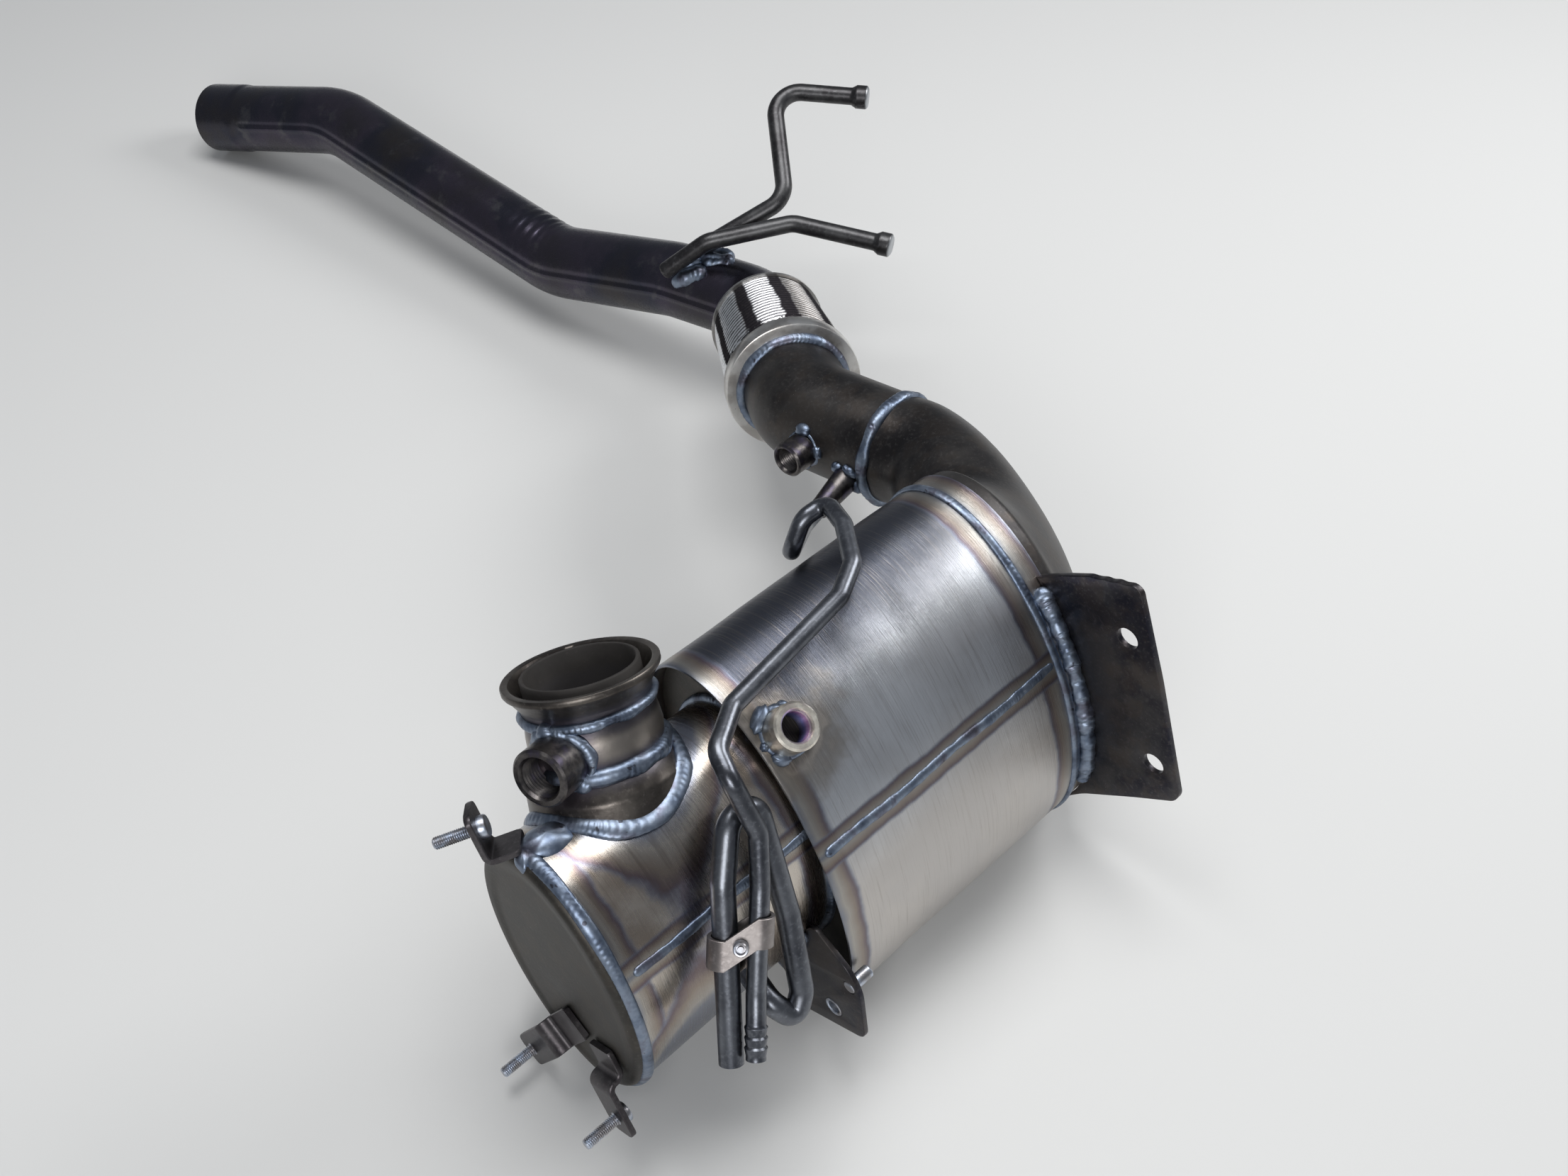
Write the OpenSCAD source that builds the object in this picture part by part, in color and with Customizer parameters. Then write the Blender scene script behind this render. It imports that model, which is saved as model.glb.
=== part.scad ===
// Close-coupled diesel particulate filter: an oval filter can with an oval oxidation catalyst in front of it,
// an inlet neck on the catalyst, an outlet hood and elbow behind the filter, a flexible coupling and a downpipe.
// Pieces are drawn in the can's frame (x along the can, z along the oval's long axis, zero at the filter's
// front rim). laid() turns the can about its axis to the way it lies and puts the inlet's centre at the origin.

/* [Filter can] */
// Length of the filter's shell
dpf_len = 159; // [140:1:190]
// Long axis of the filter's oval
dpf_major = 178; // [172:1:186]
// Short axis of the filter's oval
dpf_minor = 104; // [102:1:112]
// Sheet thickness of both shells
shell_t = 1.5; // [1:0.1:2]
// Thickness of the mat round each ceramic core
mat_t = 4; // [3:0.5:6]
// Depth of the front plate behind the front rim
plate_recess = 8; // [6:1:14]
// Thickness of the front plate
plate_t = 2; // [1.5:0.5:3]
// Room between the filter core and the shell's rear end
core_end_gap = 17; // [8:1:30]

/* [Catalyst can] */
// Length of the catalyst's shell ahead of the front plate
doc_len = 101; // [96:1:115]
// Long axis of the catalyst's oval
doc_major = 128; // [120:1:132]
// Short axis of the catalyst's oval
doc_minor = 90; // [84:1:92]
// Turn of the catalyst's oval about the can's axis
doc_turn = 15; // [0:1:18]
// Length of the catalyst core
doc_core_len = 27; // [20:1:28]
// Thickness of the end cap
cap_t = 3; // [2:0.5:4]

/* [Inlet neck] */
// Outside diameter of the inlet's clamp rim
rim_d = 63; // [60:1:70]
// Outside diameter of the neck tube
neck_d = 52; // [48:1:56]
// Wall of the neck tube
neck_t = 2; // [1.5:0.1:2.5]
// Height of the rim above the catalyst's axis
rim_height = 105; // [100:1:112]
// Lean of the neck towards the filter
neck_lean = 11; // [0:1:14]
// Distance of the rim's centre from the catalyst's end
rim_back = 56.5; // [52:0.5:60]

/* [Sensor bosses] */
// Outside diameter of the oxygen sensor's boss
lambda_boss_d = 24; // [22:1:26]
// Bore of the oxygen sensor's boss
lambda_bore = 16.4; // [15:0.2:17]
// Outside diameter of the temperature sensors' bosses
temp_boss_d = 20; // [18:1:22]
// Bore of the temperature sensors' bosses
temp_bore = 12.4; // [11:0.2:13]
// Height of the bosses above what they stand on
boss_h = 13; // [10:1:15]

/* [Outlet] */
// Outside diameter of the outlet pipe
outlet_d = 56; // [52:1:58]
// Sheet thickness of the hood and the outlet pipe
outlet_t = 1.5; // [1:0.1:2]
// Outside diameter of the flexible coupling's front ring
flex_d = 74; // [72:1:80]
// Length of the flexible coupling
flex_len = 80; // [74:1:90]
// Outside diameter of the downpipe
pipe_d = 45; // [40:0.5:48]
// Wall of the downpipe
pipe_t = 1.5; // [1.2:0.1:2.5]
// Length of the swaged tail end
tail_len = 32; // [20:1:45]
// Outside diameter of the hanger rods
hanger_d = 10; // [8:0.5:10]

/* [Pressure tubes] */
// Outside diameter of the rear pressure tube
rear_tube_d = 8; // [6:0.5:9]
// Outside diameter of the front pressure tube
front_tube_d = 10; // [8:0.5:11]
// Wall of both tubes
tube_wall = 1.5; // [1:0.1:2]

/* [Brackets] */
// Thickness of the mounting plate
bracket_t = 3; // [2:0.5:4]
// Holes of the mounting plate
bracket_hole = 10.5; // [8.5:0.5:12]
// Distance between the mounting plate's holes
bracket_pitch = 68; // [55:1:75]
// Thickness of the stud tabs
tab_t = 2.5; // [1.5:0.5:3]
// Thread diameter of the studs
stud_d = 5; // [4:0.5:6]
// Length of the studs in front of their tabs
stud_len = 16; // [12:1:24]

/* [Hidden] */

// Turn of the whole can about its axis as it lies
lie = 28.6;
// Clearance of slip fits
slip = 0.2;
// Sides of an oval and of swept tubes
oval_n = 96;
pipe_n = 28;
tube_n = 12;
arc_n = 5;
eps = 0.01;

dpf_hz = dpf_major / 2;
dpf_hy = dpf_minor / 2;
doc_hz = doc_major / 2;
doc_hy = doc_minor / 2;
// Centre of the catalyst's oval, off the filter's axis
doc_y = 0.5;
doc_z = 7;
plate_x = plate_recess;
doc_x0 = plate_x + plate_t - doc_len - 2;
doc_x1 = plate_x + plate_t + 2;
cap_skirt = 3;
rim_x = doc_x0 + rim_back;
inlet_centre = [rim_x, 0, doc_z + rim_height];
neck_dir = [sin(neck_lean), 0, cos(neck_lean)];

// Heights over the catalyst's axis of the neck's pieces that meet its can
middle_weld_h = 71;
collar_h = 61;
neck_root_h = 31;

// Stations down the neck, from the rim's face
rim_h = 6;
skirt_h = 14;
weld1_s = skirt_h + 6;
weld2_s = rim_height - middle_weld_h;
lambda_s = (skirt_h + weld2_s) / 2 + 3;
neck_tube_s = lambda_s + lambda_boss_d / 2 + 3;
liner_s = lambda_s + 9;
collar_s = rim_height - collar_h;
neck_end_s = rim_height - neck_root_h;
bead_r = 2.6;
neck_in = neck_d / 2 - neck_t;
liner_t = 1.8;
liner_out = neck_in - slip;
liner_in = liner_out - liner_t;

// Points that the gas follows behind the filter
joint_p = [dpf_len + 47, 86, 70];
flex_p = [dpf_len + 56, 166, 96];
flex_dir = unit([0.526, 0.826, 0.2]);
flex_end_p = flex_p + flex_dir * flex_len;
outlet_bend_p = flex_p - flex_dir * 28;
joint_dir = unit(outlet_bend_p - joint_p);
pipe_route = [flex_end_p, flex_end_p + flex_dir * 24, [dpf_len + 98, 306, 140], [dpf_len + 76, 395, 163],
    [dpf_len + 60, 582, 278], [dpf_len + 20, 686, 305]];
pipe_bend_r = 70;
tail_p = pipe_route[len(pipe_route) - 1];
tail_dir = unit(tail_p - pipe_route[len(pipe_route) - 2]);

// Boss of the rear tube, square to the outlet pipe just past its joint
pressure_axis_p = joint_p + joint_dir * 11;
pressure_dir = let (v = [-0.93, -0.2, -0.3]) unit(v - joint_dir * (v * joint_dir));
pressure_boss_len = 24;
pressure_base = pressure_axis_p + pressure_dir * (outlet_d / 2 + slip);
pressure_end = pressure_base + pressure_dir * (pressure_boss_len + slip);

// Routes of the pressure tubes
rear_tube_route = [pressure_end, pressure_end + pressure_dir * 10, [80, 14, 93], [88, 8, 106], [100, 4, 108],
    [92, -14, 104], [78, -31, 96], [62, -38, 91], [-6, -46, 85], [-25, -57, 80], [-29, -65.5, 72],
    [-27, -65.5, 46], [-35, -65, 26], [-55, -65, -12], [-67, -67, -34]];
front_tube_route = [[-73, -58, -35], [-45, -57, 32], [-31, -55, 52], [-18, -55, 50], [-24, -55, 0],
    [-32, -55, -34], [-39, -54, -43], [-45, -52, -31], [-43, -40, -20]];
tube_bend_r = 9;

// Routes of the hanger rods
upper_rod_route = [[dpf_len + 103, 276, 157.5], [dpf_len + 147, 241, 168], [dpf_len + 183, 266, 222],
    [dpf_len + 213, 231, 203]];
lower_rod_route = [[dpf_len + 77, 284, 154], [dpf_len + 99, 262, 163], [dpf_len + 139, 231, 156],
    [dpf_len + 163, 191, 132]];
hanger_bend_r = 14;
bulb_d = hanger_d + 3.5;
bulb_len = 9;

function unit(v) = v / norm(v);
function oval_pts(hz, hy) = [for (i = [0 : oval_n - 1])
    [hz * cos(i * 360 / oval_n), hy * sin(i * 360 / oval_n)]];
// Half the oval's short width at height z
function oval_y(hz, hy, z) = hy * sqrt(1 - pow(z / hz, 2));

// A route with its corners rounded, as pairs of point and direction
function round_route(p, r) = let (n = len(p), d = [for (i = [0 : n - 2]) unit(p[i + 1] - p[i])]) concat(
    [[p[0], d[0]]],
    [for (i = [1 : n - 2])
        let (turn = acos(d[i - 1] * d[i]),
            room = 0.49 * min(norm(p[i] - p[i - 1]), norm(p[i + 1] - p[i])),
            back = min(r * tan(turn / 2), room),
            bend = back / tan(turn / 2),
            side = unit(d[i] - d[i - 1] * (d[i] * d[i - 1])),
            hub = p[i] - d[i - 1] * back + side * bend)
        for (k = [0 : arc_n - 1])
            let (a = turn * k / (arc_n - 1))
            [hub - side * bend * cos(a) + d[i - 1] * bend * sin(a), d[i - 1] * cos(a) + side * sin(a)]],
    [[p[n - 1], d[n - 2]]]);

// Carries a side vector along a route without twist
function carry(s, i, last) = i >= len(s) ? [] : let (v = unit(last - s[i][1] * (last * s[i][1])))
    concat([v], carry(s, i + 1, v));
function any_side(d) = unit(cross(d, abs(d[2]) < 0.8 ? [0, 0, 1] : [1, 0, 0]));
function loop_at(s, v, r, n) = let (w = cross(s[1], v))
    [for (k = [0 : n - 1]) s[0] + r * (cos(k * 360 / n) * v + sin(k * 360 / n) * w)];

// Faces of a skin of m loops of n points, starting at point number b
function skin_faces(m, n, b, flip) = [for (i = [0 : m - 2]) for (k = [0 : n - 1])
    let (q = [b + i * n + k, b + i * n + (k + 1) % n, b + (i + 1) * n + (k + 1) % n, b + (i + 1) * n + k])
    for (f = [[q[0], q[1], q[2]], [q[0], q[2], q[3]]]) flip ? f : [f[2], f[1], f[0]]];
// Faces of a flat ring between two loops
function rim_faces(a, b, n, flip) = [for (k = [0 : n - 1])
    let (q = [a + k, a + (k + 1) % n, b + (k + 1) % n, b + k])
    for (f = [[q[0], q[1], q[2]], [q[0], q[2], q[3]]]) flip ? f : [f[2], f[1], f[0]]];

module laid() {
    rotate([-lie, 0, 0])
        translate(-inlet_centre)
            children();
}

// Puts children at p with their z axis along d
module aim(p, d) {
    u = unit(d);
    translate(p)
        rotate([0, acos(u[2]), atan2(u[1], u[0])])
            children();
}

// Oval bar along x
module oval_bar(x0, x1, hz, hy) {
    translate([x0, 0, 0])
        rotate([0, 90, 0])
            linear_extrude(x1 - x0)
                polygon(oval_pts(hz, hy));
}

// Oval ring along x, outside half axes grown by out and inside ones by in
module oval_ring(x0, x1, hz, hy, out, in) {
    translate([x0, 0, 0])
        rotate([0, 90, 0])
            linear_extrude(x1 - x0)
                difference() {
                    polygon(oval_pts(hz + out, hy + out));
                    polygon(oval_pts(hz + in, hy + in));
                }
}

// Places children in the catalyst's turned oval
module at_doc() {
    translate([0, doc_y, doc_z])
        rotate([doc_turn, 0, 0])
            children();
}

// Places children on the neck's axis, z up, zero at the rim's face
module at_neck() {
    aim(inlet_centre, neck_dir)
        children();
}

// A round bar or tube swept along a route
module swept(route, bend_r, od, id, n) {
    s = round_route(route, bend_r);
    v = carry(s, 0, any_side(s[0][1]));
    m = len(s);
    outer = [for (i = [0 : m - 1]) each loop_at(s[i], v[i], od / 2, n)];
    inner = [for (i = [0 : m - 1]) each loop_at(s[i], v[i], id / 2, n)];
    if (id > 0) {
        polyhedron(concat(outer, inner), concat(
            skin_faces(m, n, 0, false),
            skin_faces(m, n, m * n, true),
            rim_faces(0, m * n, n, true),
            rim_faces((m - 1) * n, (2 * m - 1) * n, n, false)));
    } else {
        polyhedron(outer, concat(
            skin_faces(m, n, 0, false),
            [[for (k = [0 : n - 1]) k]],
            [[for (k = [n - 1 : -1 : 0]) (m - 1) * n + k]]));
    }
}

// A bored boss standing on its base point
module boss(base, dir, d, bore, h, sink) {
    aim(base - unit(dir) * sink, dir)
        difference() {
            cylinder(d = d, h = h + sink, $fn = 64);
            translate([0, 0, -1])
                cylinder(d = bore, h = h + sink + 2, $fn = 64);
        }
}

// Weld ring of half round section about z
module bead_ring(r, bead) {
    rotate_extrude($fn = 96)
        translate([r, 0])
            intersection() {
                circle(r = bead, $fn = 24);
                translate([0, -bead])
                    square([bead, 2 * bead]);
            }
}

// Filter can

dpf_boss_z = 57.5;
dpf_boss_base = [14, -oval_y(dpf_hz, dpf_hy, dpf_boss_z), dpf_boss_z];
dpf_boss_dir = unit([0, dpf_boss_base[1] / pow(dpf_hy, 2), dpf_boss_base[2] / pow(dpf_hz, 2)]);
// The rear bead runs round the can ahead of the mounting plate and its bead
plate_bead_w = 5;
rear_bead_w = 4;
rear_bead_x0 = dpf_len - bracket_t - plate_bead_w - rear_bead_w - 2;
seam_z = 7;
seam_w = 5;
boss_sink = shell_t + 0.5;
gas_gap = 22;
core_x0 = plate_x + plate_t + gas_gap;
dpf_core_len = dpf_len - core_x0 - core_end_gap;

module dpf_shell() {
    color("silver")
        difference() {
            oval_ring(0, dpf_len, dpf_hz, dpf_hy, 0, -shell_t);
            aim(dpf_boss_base - dpf_boss_dir * 2 * boss_sink, dpf_boss_dir)
                cylinder(d = temp_boss_d + 2 * slip, h = 4 * boss_sink, $fn = 64);
        }
}

module seam_bar(x0, x1, y, z, d) {
    translate([x0, y, z])
        rotate([0, 90, 0])
            cylinder(d = d, h = x1 - x0, $fn = 32);
}

module dpf_seam_weld() {
    color("slategray")
        difference() {
            seam_bar(2, rear_bead_x0 - 1, -oval_y(dpf_hz, dpf_hy, seam_z) + 1, seam_z, seam_w);
            oval_bar(0, dpf_len, dpf_hz, dpf_hy);
        }
}

module dpf_front_plate() {
    color("dimgray")
        difference() {
            oval_bar(plate_x, plate_x + plate_t, dpf_hz - shell_t - slip, dpf_hy - shell_t - slip);
            at_doc()
                oval_bar(plate_x - 1, plate_x + plate_t + 1, doc_hz + slip, doc_hy + slip);
            aim(dpf_boss_base - dpf_boss_dir * 2 * boss_sink, dpf_boss_dir)
                cylinder(d = temp_boss_d + 2 * slip, h = 4 * boss_sink, $fn = 64);
        }
}

module dpf_mat() {
    color("beige")
        oval_ring(core_x0, core_x0 + dpf_core_len, dpf_hz - shell_t, dpf_hy - shell_t, 0, -mat_t);
}

module dpf_core() {
    color("tan")
        oval_bar(core_x0, core_x0 + dpf_core_len, dpf_hz - shell_t - mat_t, dpf_hy - shell_t - mat_t);
}

module dpf_rear_weld() {
    color("slategray")
        oval_ring(rear_bead_x0, rear_bead_x0 + rear_bead_w, dpf_hz, dpf_hy, 1.4, 0);
}

module dpf_temp_boss() {
    color("lightgray")
        boss(dpf_boss_base, dpf_boss_dir, temp_boss_d, temp_bore, boss_h, boss_sink);
}

module dpf_temp_weld() {
    color("slategray")
        difference() {
            aim(dpf_boss_base, dpf_boss_dir)
                difference() {
                    cylinder(d1 = temp_boss_d + 7, d2 = temp_boss_d + 1, h = 4, $fn = 64);
                    translate([0, 0, -1])
                        cylinder(d = temp_boss_d, h = 6, $fn = 64);
                }
            oval_bar(-10, dpf_len, dpf_hz, dpf_hy);
        }
}

// Catalyst can

module neck_cutter() {
    at_neck()
        translate([0, 0, -neck_end_s - 1])
            cylinder(d = neck_d + 2 * slip, h = neck_end_s, $fn = 96);
}

module doc_shell() {
    color("silver")
        difference() {
            at_doc()
                oval_ring(doc_x0, doc_x1, doc_hz, doc_hy, 0, -shell_t);
            neck_cutter();
            swept([for (i = [len(front_tube_route) - 2 : len(front_tube_route) - 1]) front_tube_route[i]
                + [0, i == len(front_tube_route) - 1 ? 6 : -2, 0]], tube_bend_r, front_tube_d + 2 * slip, 0, tube_n);
        }
}

doc_seam_z = 22;

module doc_seam_weld() {
    color("slategray")
        at_doc()
            difference() {
                seam_bar(doc_x0 + 5, plate_x - 4, -oval_y(doc_hz, doc_hy, doc_seam_z) + 1, doc_seam_z, seam_w);
                oval_bar(doc_x0, doc_x1, doc_hz, doc_hy);
            }
}

module doc_rear_weld() {
    color("steelblue")
        at_doc()
            oval_ring(plate_x - 3, plate_x, doc_hz, doc_hy, 1.6, 0);
}

module doc_end_cap() {
    color("dimgray")
        at_doc() {
            oval_bar(doc_x0 - cap_skirt - cap_t, doc_x0 - cap_skirt, doc_hz - 2, doc_hy - 2);
            oval_ring(doc_x0 - cap_skirt - cap_t / 2, doc_x0, doc_hz, doc_hy, 0, -2 - eps);
        }
}

module doc_cap_weld() {
    color("slategray")
        at_doc()
            oval_ring(doc_x0 - 2, doc_x0 + 2.5, doc_hz, doc_hy, 1.8, 0);
}

doc_core_x0 = plate_x + plate_t - doc_core_len;

module doc_mat() {
    color("beige")
        at_doc()
            oval_ring(doc_core_x0, doc_core_x0 + doc_core_len, doc_hz - shell_t, doc_hy - shell_t, 0, -mat_t);
}

module doc_core() {
    color("tan")
        at_doc()
            oval_bar(doc_core_x0, doc_core_x0 + doc_core_len, doc_hz - shell_t - mat_t, doc_hy - shell_t - mat_t);
}

// Inlet neck

module inlet_rim() {
    color("dimgray")
        at_neck()
            rotate_extrude($fn = 96)
                polygon([[neck_in, -skirt_h], [neck_d / 2, -skirt_h], [neck_d / 2, -rim_h - 4],
                    [rim_d / 2, -2.5], [rim_d / 2, 0], [rim_d / 2 - 3, 0], [neck_in, -rim_h - 4]]);
}

// The liner's top over the rim's face
liner_top = 1;

module inlet_liner() {
    color("dimgray")
        difference() {
            at_neck()
                rotate_extrude($fn = 96)
                    polygon([[liner_in, -liner_s], [liner_out, -liner_s],
                        [liner_out, liner_top], [liner_in, liner_top]]);
            aim(lambda_axis_p, lambda_dir)
                cylinder(d = lambda_bore + 3, h = neck_d, $fn = 64);
        }
}

// The neck tube's outside, filled
module neck_form() {
    at_neck()
        rotate_extrude($fn = 96)
            polygon([[0, -neck_end_s], [neck_d / 2, -neck_end_s], [neck_d / 2, -weld2_s],
                [neck_d / 2 + 1.2, -(weld1_s + weld2_s) / 2], [neck_d / 2, -weld1_s],
                [neck_d / 2, 0], [0, 0]]);
}

// The collar's outside, filled
module collar_form() {
    at_neck()
        rotate_extrude($fn = 96)
            polygon([[0, -neck_end_s], [neck_d / 2 + 8, -neck_end_s], [neck_d / 2 + 6, -collar_s],
                [neck_d / 2 + 1.5, -weld2_s - 3], [0, -weld2_s - 3]]);
}

module neck_tube() {
    color("gray")
        difference() {
            at_neck()
                rotate_extrude($fn = 96)
                    polygon([[neck_in, -neck_tube_s], [neck_d / 2, -neck_tube_s], [neck_d / 2, -weld2_s],
                        [neck_d / 2 + 1.2, -(weld1_s + weld2_s) / 2], [neck_d / 2, -weld1_s],
                        [neck_d / 2, -skirt_h], [neck_in, -skirt_h]]);
            aim(lambda_axis_p, lambda_dir)
                cylinder(d = lambda_boss_d + 2 * slip, h = neck_d, $fn = 64);
        }
}

module neck_collar() {
    color("gray")
        difference() {
            collar_form();
            at_neck()
                translate([0, 0, -neck_end_s - 1])
                    cylinder(d = neck_d + 2 * slip, h = neck_end_s, $fn = 96);
            at_doc()
                oval_bar(doc_x0, doc_x1, doc_hz, doc_hy);
            aim(lambda_axis_p, lambda_dir)
                cylinder(d = lambda_boss_d + 2 * slip, h = neck_d, $fn = 64);
        }
}

module neck_weld_upper() {
    color("steelblue")
        difference() {
            at_neck()
                translate([0, 0, -skirt_h])
                    bead_ring(neck_d / 2, bead_r);
            aim(lambda_axis_p, lambda_dir)
                cylinder(d = lambda_boss_d + 8, h = neck_d, $fn = 64);
        }
}

module neck_weld_middle() {
    color("steelblue")
        difference() {
            at_neck()
                translate([0, 0, -weld2_s])
                    bead_ring(neck_d / 2 - 1, bead_r + 1.4);
            neck_form();
            collar_form();
            aim(lambda_axis_p, lambda_dir)
                cylinder(d = lambda_boss_d + 8, h = neck_d, $fn = 64);
        }
}

module neck_weld_lower() {
    color("steelblue")
        difference() {
            intersection() {
                at_doc()
                    oval_ring(doc_x0, doc_x1, doc_hz, doc_hy, 2.5, 0);
                at_neck()
                    translate([0, 0, -neck_end_s])
                        cylinder(d = neck_d + 24, h = neck_end_s - weld2_s, $fn = 96);
            }
            collar_form();
            at_neck()
                translate([0, 0, -neck_end_s - 1])
                    cylinder(d = neck_d + 2 * (bead_r + 0.4 + slip), h = neck_end_s, $fn = 96);
        }
}

lambda_axis_p = inlet_centre - neck_dir * lambda_s;
lambda_dir = let (v = [-0.87, -0.43, 0.25]) unit(v - neck_dir * (v * neck_dir));
lambda_base = lambda_axis_p + lambda_dir * neck_d / 2;
lambda_sink = neck_t - slip;

module lambda_boss() {
    color("dimgray")
        boss(lambda_base, lambda_dir, lambda_boss_d, lambda_bore, boss_h + 1, lambda_sink);
}

module lambda_weld() {
    color("steelblue")
        difference() {
            aim(lambda_base - lambda_dir * 2, lambda_dir)
                difference() {
                    cylinder(d = lambda_boss_d + 7, h = 5, $fn = 64);
                    translate([0, 0, -1])
                        cylinder(d = lambda_boss_d, h = 8, $fn = 64);
                }
            neck_form();
            collar_form();
        }
}

// Outlet

// Stations of the hood: centre, turn towards the outlet, half height, half width
hood_lip = 4;
joint_turn = acos(joint_dir[0]);
hood_stations = [
    [[dpf_len - hood_lip, 0, 0], 0, dpf_hz - shell_t - slip, dpf_hy - shell_t - slip],
    [[dpf_len + 5, 0, 0], 0, dpf_hz - shell_t - slip, dpf_hy - shell_t - slip],
    [[dpf_len + 10, 2, 3], 4, dpf_hz - 6, dpf_hy - 5],
    [[dpf_len + 18, 10, 14], 18, dpf_hz - 24, dpf_hy - 9],
    [[dpf_len + 28, 25, 33], 42, dpf_hz - 45, dpf_hy - 16],
    [[dpf_len + 40, 46, 53], 66, outlet_d / 2 + 4, outlet_d / 2 + 2],
    [joint_p - joint_dir * 18, joint_turn, outlet_d / 2, outlet_d / 2],
    [joint_p, joint_turn, outlet_d / 2, outlet_d / 2]
];
hood_n = 48;
hood_side = unit([0, joint_dir[1], joint_dir[2]]);
function spline(a, b, c, d, t) = 0.5 * (2 * b + (c - a) * t + (2 * a - 5 * b + 4 * c - d) * t * t
    + (3 * b - a - 3 * c + d) * t * t * t);
function hood_at(i, t) = let (s = hood_stations, n = len(s) - 1,
    a = s[max(i - 1, 0)], b = s[i], c = s[min(i + 1, n)], d = s[min(i + 2, n)])
    [for (k = [0 : 3]) spline(a[k], b[k], c[k], d[k], t)];
// One loop of the hood, thinned by t
function hood_loop(h, t) = let (nrm = [cos(h[1]), 0, 0] + sin(h[1]) * hood_side,
    up = unit([0, 0, 1] - nrm * nrm[2]), away = cross(up, nrm))
    [for (k = [0 : hood_n - 1]) h[0] + up * (h[2] - t) * cos(k * 360 / hood_n)
        - away * (h[3] - t) * sin(k * 360 / hood_n)];

module outlet_hood() {
    steps = 3;
    last = len(hood_stations) - 1;
    rings = concat([hood_stations[0]], [for (i = [1 : last - 1]) for (k = [0 : steps - 1]) hood_at(i, k / steps)],
        [hood_stations[last]]);
    m = len(rings);
    points = concat([for (h = rings) each hood_loop(h, 0)], [for (h = rings) each hood_loop(h, outlet_t)]);
    color("dimgray")
        polyhedron(points, concat(
            skin_faces(m, hood_n, 0, false),
            skin_faces(m, hood_n, m * hood_n, true),
            rim_faces(0, m * hood_n, hood_n, true),
            rim_faces((m - 1) * hood_n, (2 * m - 1) * hood_n, hood_n, false)));
}

module outlet_joint_weld() {
    color("steelblue")
        aim(joint_p, joint_dir)
            bead_ring(outlet_d / 2 + slip, bead_r);
}

module outlet_pipe() {
    color("dimgray")
        swept([joint_p + joint_dir * slip, outlet_bend_p, flex_p - flex_dir * slip], 60, outlet_d,
            outlet_d - 2 * outlet_t, pipe_n);
}

outlet_boss_axis_p = joint_p + joint_dir * 38;
outlet_boss_dir = let (v = [-1, 0.1, 0.1]) unit(v - joint_dir * (v * joint_dir));
outlet_boss_base = outlet_boss_axis_p + outlet_boss_dir * (outlet_d / 2 + slip);

module outlet_temp_boss() {
    color("dimgray")
        boss(outlet_boss_base, outlet_boss_dir, temp_boss_d - 2, temp_bore, boss_h, 0);
}

module outlet_temp_weld() {
    color("steelblue")
        aim(outlet_boss_base + outlet_boss_dir * 0.5, outlet_boss_dir)
            difference() {
                cylinder(d1 = temp_boss_d + 2, d2 = temp_boss_d - 1, h = 3, $fn = 64);
                translate([0, 0, -1])
                    cylinder(d = temp_boss_d - 2, h = 5, $fn = 64);
            }
}

module pressure_boss() {
    color("slategray")
        aim(pressure_base, pressure_dir)
            difference() {
                cylinder(d1 = rear_tube_d + 6, d2 = rear_tube_d + 2, h = pressure_boss_len, $fn = 48);
                translate([0, 0, -1])
                    cylinder(d = rear_tube_d - 2 * tube_wall, h = pressure_boss_len + 2, $fn = 48);
            }
}

// Flexible coupling

flex_ring_w = 10;
flex_neck_d = pipe_d + 4;
braid_d = flex_d - 5;
wave_n = 12;

module at_flex() {
    aim(flex_p, flex_dir)
        children();
}

module flex_ring_front() {
    color("silver")
        at_flex()
            difference() {
                cylinder(d = flex_d, h = flex_ring_w, $fn = 96);
                translate([0, 0, -1])
                    cylinder(d = outlet_d - 2 * outlet_t, h = 4, $fn = 96);
                translate([0, 0, 2])
                    cylinder(d = braid_d, h = flex_ring_w, $fn = 96);
            }
}

module flex_weld() {
    color("steelblue")
        at_flex()
            rotate_extrude($fn = 96)
                polygon([[outlet_d / 2 + 0.6, -eps], [outlet_d / 2 + 4, -eps], [outlet_d / 2 + 0.6, -4]]);
}

module flex_braid() {
    color("lightgray")
        at_flex()
            rotate_extrude($fn = 96)
                polygon([[braid_d / 2 - 2, 2 + slip], [braid_d / 2 - slip, 2 + slip],
                    [braid_d / 2 - slip, flex_ring_w], [braid_d / 2 - 0.8, flex_len * 0.45],
                    [braid_d / 2 - 3, flex_len - flex_ring_w], [braid_d / 2 - 3.5, flex_len - 4],
                    [braid_d / 2 - 5.5, flex_len - 4], [braid_d / 2 - 5, flex_len - flex_ring_w],
                    [braid_d / 2 - 2.8, flex_len * 0.45]]);
}

module flex_bellows() {
    pitch = (flex_len - 2 * flex_ring_w) / wave_n;
    ri = outlet_d / 2 - 3;
    ro = braid_d / 2 - 6;
    wave = [for (i = [0 : wave_n - 1]) each [[ri, flex_ring_w + i * pitch], [ro, flex_ring_w + (i + 0.5) * pitch]]];
    back = [for (i = [len(wave) - 1 : -1 : 0]) wave[i] - [1, 0]];
    color("gray")
        at_flex()
            rotate_extrude($fn = 96)
                polygon(concat([[ri, 2 + slip]], wave, [[ri, flex_len - 4]], [[ri - 1, flex_len - 4]], back,
                    [[ri - 1, 2 + slip]]));
}

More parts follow.
